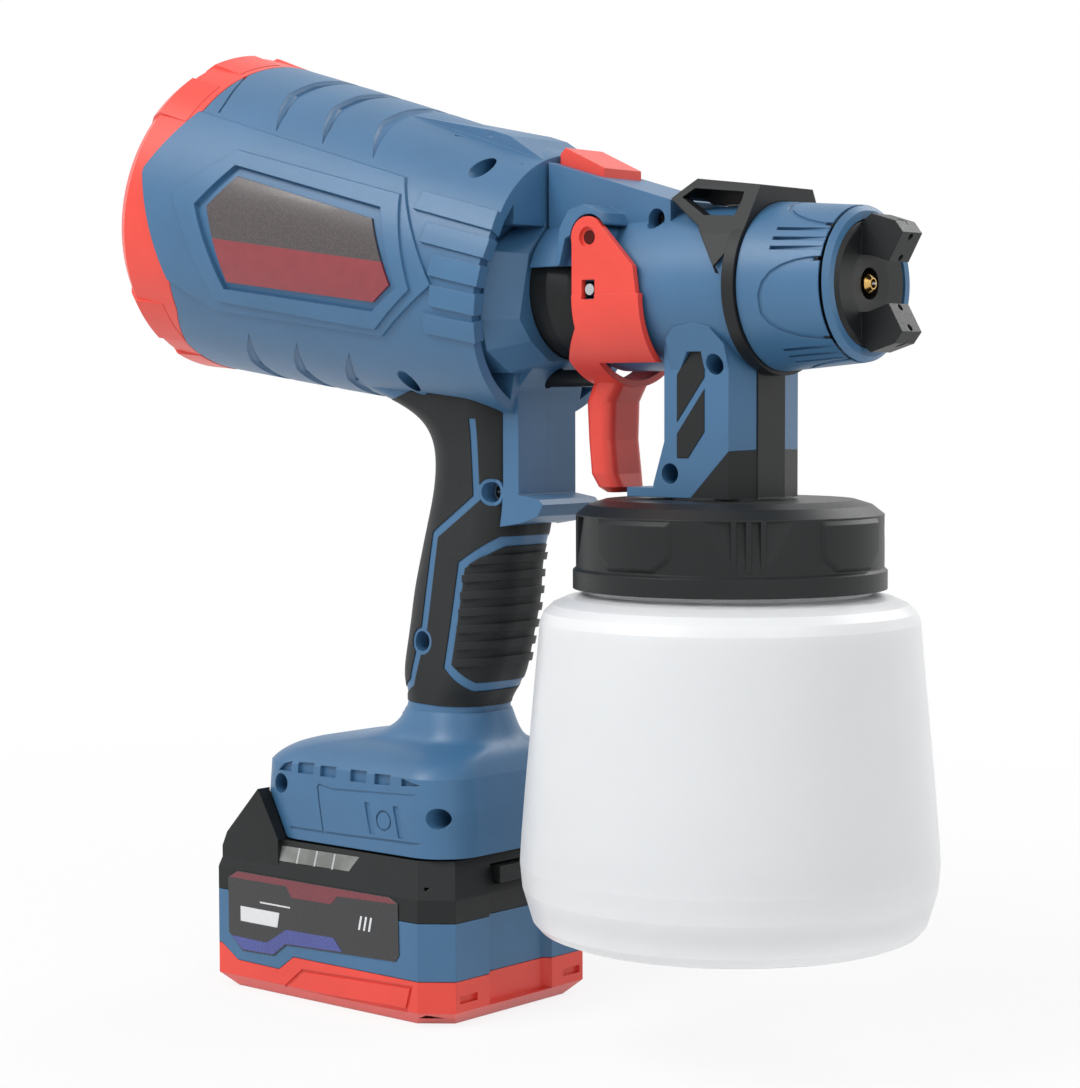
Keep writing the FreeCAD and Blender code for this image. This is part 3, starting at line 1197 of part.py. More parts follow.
shaped("fluid_body", solid_of(fluid_body()))
DOME_START = -1 * (D.joint_back + D.joint_gap / 2 + D.inlet_plug)
keep(turned("inlet_dome", "inlet", [
    (D.inlet_radius - D.inlet_wall, DOME_START), (D.inlet_radius, DOME_START),
    (D.inlet_radius, DOME_START + 11),
    (D.inlet_radius - 1.6, DOME_START + 17.6), (D.inlet_radius - 4.6, DOME_START + 22.6),
    (D.inlet_radius - 6.6, DOME_START + 22.6), (D.inlet_radius - 3.8, DOME_START + 17.0),
    (D.inlet_radius - D.inlet_wall, DOME_START + 11),
]), "inlet_dome")
NECK_END = D.air_cap_front - 6.0
NOZZLE_START = NECK_END - 18.0
keep(turned("fluid_nozzle", "nozzle", [
    (D.orifice_radius, NOZZLE_START), (4, NOZZLE_START), (4, NECK_END - 4),
    (D.tip_radius + 2.0, D.air_cap_front - 7),
    (D.tip_radius, D.air_cap_front - 3), (D.tip_radius, D.tip_front - 1.3), (D.tip_radius - 1.0, D.tip_front),
    (D.orifice_radius, D.tip_front),
]), "fluid_nozzle")
keep(sleeve("nozzle_seal", "nozzle", D.needle_radius + 0.4, as_dim(3.9), NOZZLE_START - 1.6, as_dim(1.4)),
     "nozzle_seal")
keep(sleeve("needle_packing", "nozzle", D.needle_radius + D.bore_gap, as_dim(3.25), as_dim(-23.6),
            as_dim(4)), "needle_packing")
keep(sleeve("needle_spring", "nozzle", D.needle_radius + 1.4, as_dim(4.2), as_dim(-44.5), as_dim(6.4)),
     "needle_spring")
NEEDLE_BACK = as_dim(-46)
keep(turned("needle", "nozzle", [
    (0, NEEDLE_BACK), (D.needle_radius, NEEDLE_BACK), (D.needle_radius, D.tip_front - 2.2),
    (0.35, D.tip_front + 0.6),
    (0, D.tip_front + 0.6),
]), "needle")
BAR_X = as_dim(-31)
BAR_RADIUS = as_dim(1.6)
bar = rod("crossbar_rod", (BAR_X, -1 * (D.cheek_outer - 0.6), D.nozzle_height), BAR_RADIUS,
          (D.cheek_outer - 0.6) * 2, "y")
hub = rod("crossbar_hub", (BAR_X - 3, as_dim(0), D.nozzle_height), as_dim(3.0), as_dim(6), "x")
hole = rod("crossbar_hole", (BAR_X - 6, as_dim(0), D.nozzle_height), D.needle_radius, as_dim(12), "x")
keep(cut_from("needle_crossbar", joined("crossbar_body", [bar, hub]), hole), "needle_crossbar")
tube_outer = rod("suction_outer", (as_dim(0), as_dim(0), D.suction_end), D.suction_radius, 167.5
                 - D.suction_end, "z")
tube_inner = rod("suction_inner", (as_dim(0), as_dim(0), D.suction_end - 1), D.suction_bore, 170
                 - D.suction_end, "z")
keep(cut_from("suction_tube", tube_outer, tube_inner), "suction_tube")
keep(sleeve("cup_gasket", "cup", D.mouth_radius - 4, D.mouth_radius, D.mouth_top + 0.05, as_dim(1.4)),
     "cup_gasket")
spring_outer = rod("latch_spring_outer", (as_dim(-47), as_dim(0), as_dim(241.0)), as_dim(3), as_dim(5.4), "z")
spring_inner = rod("latch_spring_inner", (as_dim(-47), as_dim(0), as_dim(240.0)), as_dim(2.2), as_dim(8), "z")
keep(cut_from("latch_spring", spring_outer, spring_inner), "latch_spring")
shaped("latch_button", prism(LATCH, -LATCH_HALF, LATCH_HALF))


LEVER_CORNER = 3.6


def trigger():
    """The trigger: two cheeks on the pivot, a saddle under the tube and the finger lever."""
    pivot = S.pivot_height
    low = 216.9
    inner = S.saddle_inner - 0.7
    outer = inner + 2.0
    cheeks = both_sides([(-37.1, 214.0), (-37.1, pivot), (PIVOT_X + 3.4, pivot + 4.9), (-15.0, 225.0),
                         (-13.4, 214.0)],
                        S.cheek_inner, S.cheek_outer)
    rounds = both_sides_round(PIVOT_X, pivot, CHEEK_TOP)
    ring = along_x(-47.0, -12.9, outer, low).cut(along_x(-50.0, -10.0, inner, low))
    flap_side = prism([(-37.1, low + 0.5), (-37.1, 208.0), (-44.0, 199.0), (-44.0, 190.0), (-12.9, 190.0),
                       (-12.9, low + 0.5)],
                      -40, 40)
    flaps = ring.common(flap_side)
    under = box(-60, 60, -40, 40, 150, 198.2).cut(box(-60, -33.5, -17.6, 17.6, 150, 202))
    flaps = flaps.cut(under)
    back = -S.lever_back
    front = back + S.lever_depth
    half = S.lever_half_width
    lever = lofted([
        (S.lever_bottom, back + 5.9, front + 0.7, half - 3.2),
        (S.lever_bottom + 1.6, back + 3.4, front + 2.6, half - 1.0),
        (S.lever_bottom + 5.4, back + 1.6, front + 1.4, half), (176.0, back + 0.6, front + 0.2, half),
        (187.0, back, front + 0.6, half), (193.4, back + 3.0, -33.6, half), (196.0, back + 5.3, -33.6, half),
    ], 0.0, LEVER_CORNER, True)
    lever = lever.cut(along_x(-60, 0, inner, low))
    body = cheeks.fuse([rounds, flaps, lever])
    cuts = [across(PIVOT_X, pivot, S.pin_radius + S.bore_gap, -40, 40)]
    cuts += [across(PIVOT_X, pivot, 2.9, -40, -S.cheek_outer + 1.0),
             across(PIVOT_X, pivot, 2.9, S.cheek_outer - 1.0, 40)]
    cuts.append(box(-33.4, -28.7, -40, 40, S.nozzle_height - 2.8, S.nozzle_height + 2.7))
    return cut_all(body, cuts)


def both_sides_round(x, z, radius):
    """A disc on each cheek, round the pivot."""
    near = across(x, z, radius, S.cheek_inner, S.cheek_outer)
    far = across(x, z, radius, -S.cheek_outer, -S.cheek_inner)
    return near.fuse(far)


shaped("trigger", solid_of(trigger()))


WEB_HALF = 3.2


def selector():
    """The spray pattern selector: a ring round the neck with a bridge-shaped lever on top."""
    ring = nozzle_tube(S.selector_start + 0.2, S.nut_start - 0.3, S.selector_radius, S.neck_radius
                       + S.running_gap)
    top = S.selector_top
    half = S.selector_half_width
    outline = [(-10.4, 244.0), (-3.6, top), (19.6, 246.4), (S.nut_start - 0.3, 233.0), (12.0, 224.0),
               (S.selector_start + 0.2, 220.0),
               (2.4, 235.8)]
    side = prism(outline, -40, 40)

    def bridge(offset):
        """The lever's cross-section along its whole length, drawn in by offset."""
        pts = [(half - 1.6 - offset, top - offset), (half - offset, top - 2.4 - offset),
               (20.0 - offset, 233.0 - offset),
               (25.0 - offset, 222.0 - offset)]
        loop = [Vector(-20, y, z) for y, z in pts] + [Vector(-20, -y, z) for y, z in reversed(pts)]
        return Part.Face(Part.makePolygon(loop + loop[:1])).extrude(Vector(60, 0, 0))

    lever = side.common(bridge(0.0)).cut(along_x(-20, S.selector_start + 0.2, S.selector_clear,
                                                 S.nozzle_height))
    lever = lever.cut(along_x(-20, 40, S.selector_radius - 1.0, S.nozzle_height))
    window = prism([(-6.6, 244.2), (-3.2, 246.6), (14.6, 244.6), (S.selector_start, 242.4), (14.0, 238.0),
                    (3.4, 238.6)], -40, 40)
    room = prism([(-20.0, 220.0), (-20.0, 243.0), (-6.6, 244.4), (-3.2, 246.6), (14.6, 244.6),
                  (14.6, 220.0)], -40, 40)
    lever = lever.cut(room.common(bridge(2.2))).cut(window)
    web = window.common(box(-10.0, S.selector_start + 0.2, -WEB_HALF, WEB_HALF, 230.0, 250.0))
    web = web.cut(along_x(-20, 40, S.selector_clear, S.nozzle_height))
    return ring.multiFuse([lever, web])


shaped("selector_ring", solid_of(selector()))


def ring_nut():
    """The ring nut over the air cap, with thin grooves in its sides."""
    axis = S.nozzle_height
    rear = S.nut_start
    front = S.nut_front
    seat = Placement(Vector(0, 0, axis), Rotation(Vector(0, 1, 0), 90))
    rear_r, front_r = S.nut_rear_radius, S.nut_front_radius
    profile = [(S.nut_bore, rear), (rear_r, rear), (front_r + 0.3, front - 1.6), (front_r - 1.3, front),
               (S.cap_opening, front),
               (S.cap_opening, front - 2.0), (S.nut_bore, front - 2.0)]
    wire = Part.makePolygon([Vector(r, 0, u) for r, u in profile + profile[:1]])
    body = Part.Face(wire).revolve(Vector(), Vector(0, 0, 1), 360)
    body.Placement = seat
    grooves = []
    for angle in (49.0, 57.5, 65.0, 142.0, 150.0, 158.0):
        for a in (angle, -angle):
            bar = Part.makeBox(2.0, 1.1, 30.0, Vector(front_r + 0.2, -0.55, 28.3))
            bar.rotate(Vector(), Vector(0, 0, 1), 180 - a)
            bar.Placement = seat.multiply(bar.Placement)
            grooves.append(bar)
    limit = along_x(28.3, front - 1.4, 30.0, axis)
    return body.cut(Part.makeCompound(grooves).common(limit))


shaped("ring_nut", solid_of(ring_nut()))
WASHER_START = D.air_cap_front - 5.6
keep(sleeve("cap_washer", "nozzle", D.cap_opening - 1, D.nut_bore - 0.2, WASHER_START, as_dim(0.8)),
     "cap_washer")


def air_cap():
    """The air cap: a domed disc with a middle hole and two horns with air holes."""
    axis = S.nozzle_height
    back = WASHER_START.value + 1.0
    disc = S.cap_opening - S.running_gap
    seat = Placement(Vector(0, 0, axis), Rotation(Vector(0, 1, 0), 90))
    front = S.air_cap_front
    profile = [(S.air_hole_radius, back), (disc + 1.2, back), (disc + 1.2, S.nut_front - 2.3),
               (disc, S.nut_front - 2.3),
               (disc, front), (disc - 1.6, front + 1.0), (9.0, front + 0.8), (S.air_hole_radius, front + 0.4)]
    wire = Part.makePolygon([Vector(r, 0, u) for r, u in profile + profile[:1]])
    body = Part.Face(wire).revolve(Vector(), Vector(0, 0, 1), 360)
    body.Placement = seat
    tip = S.horn_reach
    horn = [(front - 1.0, axis + 7.6), (front + 3.4, axis + 7.6), (tip - 4.3, axis + 5.6), (tip, axis + 13.2),
            (tip - 2.4, axis + 16.3), (front + 4.0, axis + 18.6), (S.nut_front + 0.5, axis + 16.4),
            (front - 1.0, axis + 15.0)]
    half = S.horn_half_width
    top = prism(horn, -half, half)
    low = top.mirror(Vector(0, 0, axis), Vector(0, 0, 1))
    body = body.multiFuse([top, low])
    holes = []
    for side in (1, -1):
        for along, up in ((tip - 6.0, 8.0), (tip - 2.6, 13.0)):
            start = Vector(along, 0, axis + side * (up + 5.0))
            holes.append(Part.makeCylinder(0.9, 14.0, start + Vector(-2.0, 0, 0),
                                           Vector(0.55, 0, -side * 0.83)))
    return body.cut(Part.makeCompound(holes))


shaped("air_cap", solid_of(air_cap()))

# Cup and cup ring
FLANGE_TOP = D.ring_bottom + D.ring_flange_height
RING_IN = D.lid_top - 6.1
keep(turned("cup_ring", "cup", [
    (D.ring_bore, D.ring_bottom), (D.ring_flange_radius, D.ring_bottom), (D.ring_flange_radius, FLANGE_TOP),
    (D.ring_radius, FLANGE_TOP + 0.8), (D.ring_radius, D.ring_edge), (D.ring_radius - 3.4, D.lid_top - 1.4),
    (D.ring_radius - 8.0, D.lid_top), (D.ring_hole, D.lid_top), (D.ring_hole, RING_IN),
    (D.ring_bore, RING_IN),
]), "cup_ring")
INNER = D.cup_radius - D.cup_wall
keep(turned("cup", "cup", [
    (0, D.cup_bottom + 1.6), (30, D.cup_bottom + 1.2), (D.cup_foot_radius - D.cup_corner, D.cup_bottom),
    (D.cup_foot_radius - D.cup_corner * 0.45, D.cup_bottom + D.cup_corner * 0.22),
    (D.cup_foot_radius - D.cup_corner * 0.1, D.cup_bottom + D.cup_corner * 0.62),
    (D.cup_foot_radius + 0.6, D.cup_bottom + D.cup_corner * 1.3), (D.cup_radius - 0.7, D.cup_wide_height - 7),
    (D.cup_radius, D.cup_wide_height), (D.cup_radius - 0.4, D.cup_wide_height + 7),
    (D.cup_radius - 1.8, D.cup_wide_height + 24), (D.cup_radius - 3.9, D.cup_wide_height + 47),
    (D.cup_top_radius, D.cup_shoulder), (D.cup_top_radius - 1.2, D.cup_shoulder + 2.8),
    (D.cup_top_radius - 3.5, D.cup_shoulder + 5), (D.cup_top_radius - 7.6, D.cup_shoulder + 6.8),
    (D.mouth_radius, D.cup_shoulder + 8), (D.mouth_radius, D.mouth_top), (D.mouth_radius - 3, D.mouth_top),
    (D.mouth_radius - 3, D.cup_shoulder + 6), (D.cup_top_radius - 7.6, D.cup_shoulder + 5),
    (D.cup_top_radius - D.cup_wall - 2, D.cup_shoulder + 2),
    (D.cup_top_radius - D.cup_wall, D.cup_shoulder - 1),
    (D.cup_radius - 3.9 - D.cup_wall, D.cup_wide_height + 47), (INNER - 1.8, D.cup_wide_height + 24),
    (INNER, D.cup_wide_height + 4), (INNER, D.cup_wide_height),
    (INNER - 2, D.cup_bottom + D.cup_corner * 1.5),
    (D.cup_foot_radius - D.cup_corner - 1, D.cup_bottom + D.cup_wall + 0.3),
    (0, D.cup_bottom + D.cup_wall + 1.5),
]), "cup")


# Battery
def battery_plan(inset, low, high, grow_rear=0.0):
    """The battery's plan: square at the rear, chamfered columns and a shallow recess at the front."""
    rear = -S.battery_rear + inset - grow_rear
    front = -S.battery_front - inset
    half = S.battery_half_width - inset
    c = S.battery_corner
    outline = [(rear + 3.0, -half), (front - c, -half), (front, -half + c * 0.8), (front, -14.6),
               (front - 2.4, -13.0),
               (front - 2.4, 13.0), (front, 14.6), (front, half - c * 0.8), (front - c, half),
               (rear + 3.0, half),
               (rear, half - 3.0), (rear, -half + 3.0)]
    return plan(outline, low, high)


def battery_loft(low, high, inset_low, inset_high):
    """A chamfered band of the battery between two heights."""
    loops = []
    for inset, z in ((inset_low, low), (inset_high, high)):
        rear = -S.battery_rear + inset
        front = -S.battery_front - inset
        half = S.battery_half_width - inset
        c = S.battery_corner
        pts = [(rear + 3.0, -half), (front - c, -half), (front, -half + c * 0.8), (front, half - c * 0.8),
               (front - c, half),
               (rear + 3.0, half), (rear, half - 3.0), (rear, -half + 3.0)]
        loops.append(Part.makePolygon([Vector(x, y, z) for x, y in pts + pts[:1]]))
    return Part.makeLoft(loops, True, True)


ZIGZAG = [(-200, S.base_height), (-174.3, S.base_height + 0.2), (-166.8, 9.5), (-148.0, 9.2),
          (-141.4, S.base_height),
          (-60, S.base_height)]
SPLIT = 0.2
WALL = S.battery_wall
HOLDER_TOP = WALL + 2 * S.cell_radius + S.cell_pitch + 3.0


def battery_room():
    """The hollow for the cells, with its front corners close to the outer chamfers."""
    rear = -S.battery_rear + WALL
    front = -S.battery_front - 2 * WALL
    half = S.battery_half_width - WALL
    c = 4.0
    outline = [(rear + c, -half), (front - c + 1.0, -half), (front, -half + c + 0.6), (front, half - c - 0.6),
               (front - c + 1.0, half), (rear + c, half), (rear, half - c), (rear, -half + c)]
    return plan(outline, WALL, HOLDER_TOP + 0.4)


def cell_places():
    """The middles of the cells, as (x, z)."""
    places = []
    for row in range(2):
        for column in range(5):
            x = -S.battery_rear + WALL + 0.1 + S.cell_radius + column * S.cell_pitch
            places.append((x, WALL + S.cell_radius + 1.2 + row * S.cell_pitch))
    return places


NEST_GAP = 0.08
nest_half = S.cell_length / 2 + NEST_GAP
cell_nests = [across(x, z, S.cell_radius + NEST_GAP, -nest_half, nest_half) for x, z in cell_places()]
room = battery_room().multiFuse(cell_nests)
whole = battery_loft(0.0, S.base_chamfer, S.base_chamfer,
                     0.0).fuse(battery_plan(0.0, S.base_chamfer, S.side_height))
below = prism(ZIGZAG + [(-60, -10), (-200, -10)], -60, 60)
above = prism([(x, z + SPLIT) for x, z in ZIGZAG]
              + [(-60, S.middle_height - SPLIT), (-200, S.middle_height - SPLIT)], -60, 60)
base_cuts = [room]
for side in (1, -1):
    base_cuts.append(box(-S.battery_front - 1.2, -S.battery_front + 5, min(side * 20, side * 28),
                         max(side * 20, side * 28), 7, 9.4))
    panel = prism([(-137.6, 10.7), (-147.4, 2.9), (-92.3, 4.4), (-90.0, 12.4)], -60, 60)
    rim = panel.cut(prism([(-136.9, 9.9), (-144.6, 3.9), (-93.2, 5.3), (-91.4, 11.5)], -60, 60))
    near = S.battery_half_width - 0.6
    base_cuts.append(rim.common(box(-200, 0, near, 60, 0, 30))
                     if side > 0 else rim.common(box(-200, 0, -60, -near, 0, 30)))
shaped("battery_base", solid_of(whole.common(below).cut(Part.makeCompound(base_cuts))))
shaped("battery_middle", solid_of(whole.common(above).cut(room)))


RELEASE_HALF = 11.0
RELEASE_LOW = 41.4
RELEASE_TOP = 46.4


def battery_top():
    """The battery's black top with its rear shoulders, its tongue and the slots for the blades."""
    low = S.middle_height
    side = S.side_height
    top = S.battery_top_height - 0.3
    upright_part = battery_plan(0.0, low, side)
    slope = battery_loft(side, top, 0.0, 3.4)
    wedge_side = [(-S.battery_rear + 0.6, 36.0), (-S.battery_rear + 0.6, 38.6), (-172.5, 50.0),
                  (-158.0, 65.2), (-149.0, 50.0),
                  (-149.0, 36.0)]
    wedge = prism(wedge_side, -S.foot_half_width - 2.6, S.foot_half_width + 2.6)
    wedge = wedge.common(battery_plan(0.9, 30.0, 70.0))
    space = lofted([(z + (-0.5 if i == 0 else 0.4), a, b, c) for i,
                    (z, a, b, c) in enumerate(foot_sections())], -0.5, 14.5, True)
    path = space.multiFuse([space.translated(Vector(step, 0, 0)) for step in (6.0, 14.0, 24.0)])
    tongue_half = S.channel_half_width - S.running_gap
    tongue_top = S.foot_bottom + S.channel_height - S.running_gap
    body = upright_part.multiFuse([slope, wedge])
    body = body.cut(path)
    tongue = box(-160.0, -CHANNEL_FRONT - S.running_gap, -tongue_half, tongue_half, top - 1.0, tongue_top)
    body = body.cut(room)
    body = body.fuse(tongue)
    cuts = [box(-102.5, -80.0, 8.0 * i - 1.7, 8.0 * i + 1.7, 50.4, 70.0) for i in (-1, 0, 1)]
    cuts.append(box(-156.0, -110.0, -tongue_half + 3, tongue_half - 3, HOLDER_TOP - 1.0, tongue_top - 2.4))
    cuts += [box(-119.0, -112.0, -13.4, 13.4, 50.0, 53.4)]
    window = charge_window_solid(0.1)
    cuts.append(window)
    cuts.append(box(-S.battery_front - 8.6, -S.battery_front + 5.0, -RELEASE_HALF - 0.4, RELEASE_HALF + 0.4,
                    RELEASE_LOW - 0.4, RELEASE_TOP + 0.4))
    return cut_all(body, cuts)


def charge_window_solid(grow):
    """The strip window over the charge lights, in the sloping right side."""
    strip = prism([(-149.0 - grow, 43.3 - grow), (-118.3 + grow, 43.6 - grow), (-115.1 + grow, 48.2 + grow),
                   (-149.0 - grow, 47.9 + grow)], -60, 0)
    skin = battery_loft(S.side_height, S.battery_top_height - 0.3, 0.0, 3.4)
    return strip.common(skin).cut(skin.translated(Vector(0, 1.2 + grow, 0)))


shaped("battery_top", solid_of(battery_top()))
shaped("charge_window", solid_of(charge_window_solid(0.0)))
plates = []
for side in (1, -1):
    outline = [(-171.0, 31.4), (-171.0, 17.2), (-168.8, 15.6), (-98.3, 18.8), (-95.5, 21.0), (-95.5, 31.4)]
    near = S.battery_half_width
    y0, y1 = (near, near + 0.3) if side > 0 else (-near - 0.3, -near)
    plates.append(prism(outline, y0, y1).fuse(prism([(-171.0, 31.3), (-171.0, 35.7), (-168.4, 37.8),
                                                     (-97.5, 37.8),
                                                    (-95.3, 36.0), (-95.5, 31.3)], y0, y1)))
shaped("battery_labels", Part.makeCompound([plate.removeSplitter() for plate in plates]))
cells = [across(x, z, S.cell_radius, -S.cell_length / 2, S.cell_length / 2) for x, z in cell_places()]
shaped("battery_cells", Part.makeCompound(cells))
holder_rear = -S.battery_rear + WALL + 0.4
holder_front = -S.battery_front - 2 * WALL - 0.4
holders = box(holder_rear, holder_front, -27.0, 27.0, WALL + 0.1,
              HOLDER_TOP).cut(box(-200, 0, -23.0, 23.0, 0, 60))
shaped("cell_holder", Part.makeCompound(cut_all(holders, cell_nests).Solids))
contact_parts = []
for i in (-1, 0, 1):
    contact_parts.append(box(-100.5, -94.0, 8.0 * i - 1.6, 8.0 * i - 0.9, 50.6, 57.0))
    contact_parts.append(box(-100.5, -94.0, 8.0 * i + 0.9, 8.0 * i + 1.6, 50.6, 57.0))
shaped("battery_contacts", Part.makeCompound(contact_parts))
shaped("battery_release", box(-S.battery_front - 4.6, -S.battery_front + 1.2, -RELEASE_HALF, RELEASE_HALF,
                              RELEASE_LOW, RELEASE_TOP))

doc.recompute()
failed = [f.Name for f in doc.Objects if "Invalid" in f.State or "Error" in f.State]
for feature in PARTS:
    if feature.Shape.isNull() or not feature.Shape.isValid() or not feature.Shape.Solids:
        failed.append(feature.Label)
if failed:
    sys.exit("not built: " + ", ".join(failed))

os.makedirs("parts", exist_ok=True)
for feature in PARTS:
    feature.Shape.exportStep(f"parts/{feature.Label}.step")
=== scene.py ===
"""Looks of a cordless turbine paint sprayer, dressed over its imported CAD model.

Lengths are in metres in the frame of the CAD model: +X is where it sprays, +Z is up and
the side that faces the camera is -Y.  Sizes of fine detail are written in millimetres.
"""

import logging
import math
from collections.abc import Iterable, Sequence
from dataclasses import dataclass
from enum import Enum
from typing import Any

import bmesh
import bpy
from mathutils import Matrix, Vector
from mathutils.bvhtree import BVHTree
from mathutils.interpolate import poly_3d_calc


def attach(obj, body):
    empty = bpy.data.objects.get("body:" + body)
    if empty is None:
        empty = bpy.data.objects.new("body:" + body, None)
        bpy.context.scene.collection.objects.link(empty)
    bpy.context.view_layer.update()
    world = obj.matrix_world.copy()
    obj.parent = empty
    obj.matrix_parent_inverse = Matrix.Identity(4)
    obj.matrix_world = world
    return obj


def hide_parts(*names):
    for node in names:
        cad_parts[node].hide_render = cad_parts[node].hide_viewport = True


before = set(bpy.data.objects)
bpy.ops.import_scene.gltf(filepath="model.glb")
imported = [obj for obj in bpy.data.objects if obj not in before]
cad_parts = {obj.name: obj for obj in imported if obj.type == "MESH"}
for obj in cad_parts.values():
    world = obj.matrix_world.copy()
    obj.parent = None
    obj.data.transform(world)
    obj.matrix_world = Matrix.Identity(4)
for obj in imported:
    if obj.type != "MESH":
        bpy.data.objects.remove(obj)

log = logging.getLogger("paint_sprayer")

MM = 0.001
CUP_X = 80.398
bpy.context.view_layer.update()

PLASTIC_IOR = 1.5
MIX_SHARE, MIX_FIRST, MIX_SECOND, MIX_RESULT = 0, 6, 7, 2
LONGEST_RUN = 2.0
RIBBON_MITRE, LINE_MITRE = 0.45, 0.5
PAD_SQUARE, PAD_SUNK, PAD_SKIRT = 0.4, 0.6, -0.42
CLEAN_DISTANCE, WELD_DISTANCE = 1e-7, 1e-6
SHARP_DEGREES, SHADE_REACH, SAME_WAY, INWARD = 30.0, 2e-5, 0.99, 0.02

Colour = tuple[float, float, float, float]
Point = tuple[float, float, float]
Pair = tuple[float, float]
Path = Sequence[Pair]
Form = bmesh.types.BMesh
Thing = bpy.types.Object
Material = bpy.types.Material
Tree = bpy.types.NodeTree
Socket = bpy.types.NodeSocket
Finishes = dict[str, Material]

X_AXIS: Point = (1.0, 0.0, 0.0)
Z_AXIS: Point = (0.0, 0.0, 1.0)
MIRROR: Point = (1.0, -1.0, 1.0)
WHITE: Colour = (1.0, 1.0, 1.0, 1.0)


def linear(code: str, gain: float = 1.0) -> Colour:
    """Turns an sRGB hex colour into linear light.

    Args:
        code: six hex digits.
        gain: factor on the linear values.

    Returns:
        Linear red, green, blue and an alpha of one.
    """
    parts = [int(code[i:i + 2], 16) / 255 for i in (0, 2, 4)]
    red, green, blue = [v / 12.92 if v <= 0.04045 else ((v + 0.055) / 1.055) ** 2.4 for v in parts]
    return (red * gain, green * gain, blue * gain, 1.0)


def add_node(tree: Tree, kind: str, inputs: dict[Any, Any] | None = None,
             **settings: Any) -> bpy.types.Node:
    """Adds one node with its settings, values and links.

    Args:
        tree: node tree that gets the node.
        kind: node type.
        inputs: socket name or number, with a value or an output socket to link.
        settings: the node's own attributes.

    Returns:
        The new node.
    """
    node = tree.nodes.new(kind)
    for name, value in settings.items():
        setattr(node, name, value)
    for key, value in (inputs or {}).items():
        if isinstance(value, Socket):
            tree.links.new(value, node.inputs[key])
        else:
            node.inputs[key].default_value = value
    return node


@dataclass(frozen=True)
class Surface:
    """A shader material that is being built on Object coordinates."""

    material: Material
    tree: Tree
    place: Socket
    output: bpy.types.Node

    @classmethod
    def start(cls, name: str) -> "Surface":
        """Makes an empty shader material.

        Args:
            name: the material's name.

        Returns:
            The surface, ready for its nodes.
        """
        material = bpy.data.materials.new(name)
        material.use_nodes = True
        tree = material.node_tree
        tree.nodes.clear()
        place = add_node(tree, "ShaderNodeTexCoord").outputs["Object"]
        return cls(material, tree, place, add_node(tree, "ShaderNodeOutputMaterial"))

    def noise(self, scale: float, detail: float = 2.0, roughness: float = 0.5) -> Socket:
        """Adds noise of so many cells per metre, with finer octaves, and gives its value."""
        return add_node(self.tree, "ShaderNodeTexNoise",
                        {"Vector": self.place, "Scale": scale, "Detail": detail,
                         "Roughness": roughness}).outputs["Fac"]

    def cells(self, width_mm: float) -> Socket:
        """Adds round cells of a width and gives the distance from their middles."""
        return add_node(self.tree, "ShaderNodeTexVoronoi",
                        {"Vector": self.place, "Scale": 1 / (width_mm * MM)}).outputs["Distance"]

    def tint(self, value: Socket, code: str, *shades: Pair) -> Socket:
        """Adds a ramp between two shades of one colour.

        Args:
            value: socket that drives it.
            code: the colour as sRGB hex digits.
            shades: place on the ramp and gain of each shade.

        Returns:
            The socket with the colour.
        """
        node = add_node(self.tree, "ShaderNodeValToRGB", {"Fac": value})
        for element, (place, gain) in zip(node.color_ramp.elements, shades):
            element.position = place
            element.color = linear(code, gain)
        return node.outputs["Color"]

    def spread(self, value: Socket, low: float, high: float,
               start: float = 0.0, end: float = 1.0) -> Socket:
        """Maps a value between start and end to the range from low to high."""
        return add_node(self.tree, "ShaderNodeMapRange",
                        {"Value": value, "From Min": start, "From Max": end,
                         "To Min": low, "To Max": high}).outputs["Result"]

    def bump(self, height: Socket, depth_mm: float, strength: float = 0.4,
             normal: Socket | None = None) -> Socket:
        """Adds fine relief.

        Args:
            height: socket with the height.
            depth_mm: its depth.
            strength: its weight.
            normal: normal that it starts from, if not the face's own.

        Returns:
            The socket with the normal.
        """
        inputs = {"Strength": strength, "Distance": depth_mm * MM, "Height": height}
        if normal is not None:
            inputs["Normal"] = normal
        return add_node(self.tree, "ShaderNodeBump", inputs).outputs["Normal"]

    def close(self, inputs: dict[str, Any]) -> Material:
        """Gives the material its shader, set by the names of its inputs, and returns it."""
        shader = add_node(self.tree, "ShaderNodeBsdfPrincipled", inputs)
        self.tree.links.new(shader.outputs["BSDF"], self.output.inputs["Surface"])
        return self.material


@dataclass(frozen=True)
class MouldedPlastic:
    """Filled nylon or ABS from a spark-eroded tool: satin, with a grain felt by the nail."""

    name: str
    colour: str
    roughness: float = 0.42
    grain_mm: float = 0.55
    depth_mm: float = 0.012
    edge_mm: float = 0.35
    mottle: float = 0.05
    coat: float = 0.0
    sheen: float = 0.0
    shine: float = 0.5

    def build(self) -> Material:
        """Builds the material."""
        surface = Surface.start(self.name)
        colour = surface.tint(surface.noise(45.0, 3.0, 0.6), self.colour,
                              (0.3, 1 - self.mottle), (0.7, 1 + self.mottle))
        grain = surface.noise(1 / (self.grain_mm * MM), roughness=0.55)
        gloss = surface.spread(grain, self.roughness - 0.05, self.roughness + 0.06, 0.3, 0.7)
        eased = add_node(surface.tree, "ShaderNodeBevel", {"Radius": self.edge_mm * MM}, samples=4)
        return surface.close({
            "Base Color": colour, "Roughness": gloss, "IOR": PLASTIC_IOR,
            "Specular IOR Level": self.shine,
            "Normal": surface.bump(grain, self.depth_mm, 0.7, eased.outputs["Normal"]),
            "Coat Weight": self.coat, "Coat Roughness": 0.18,
            "Sheen Weight": self.sheen, "Sheen Roughness": 0.5})


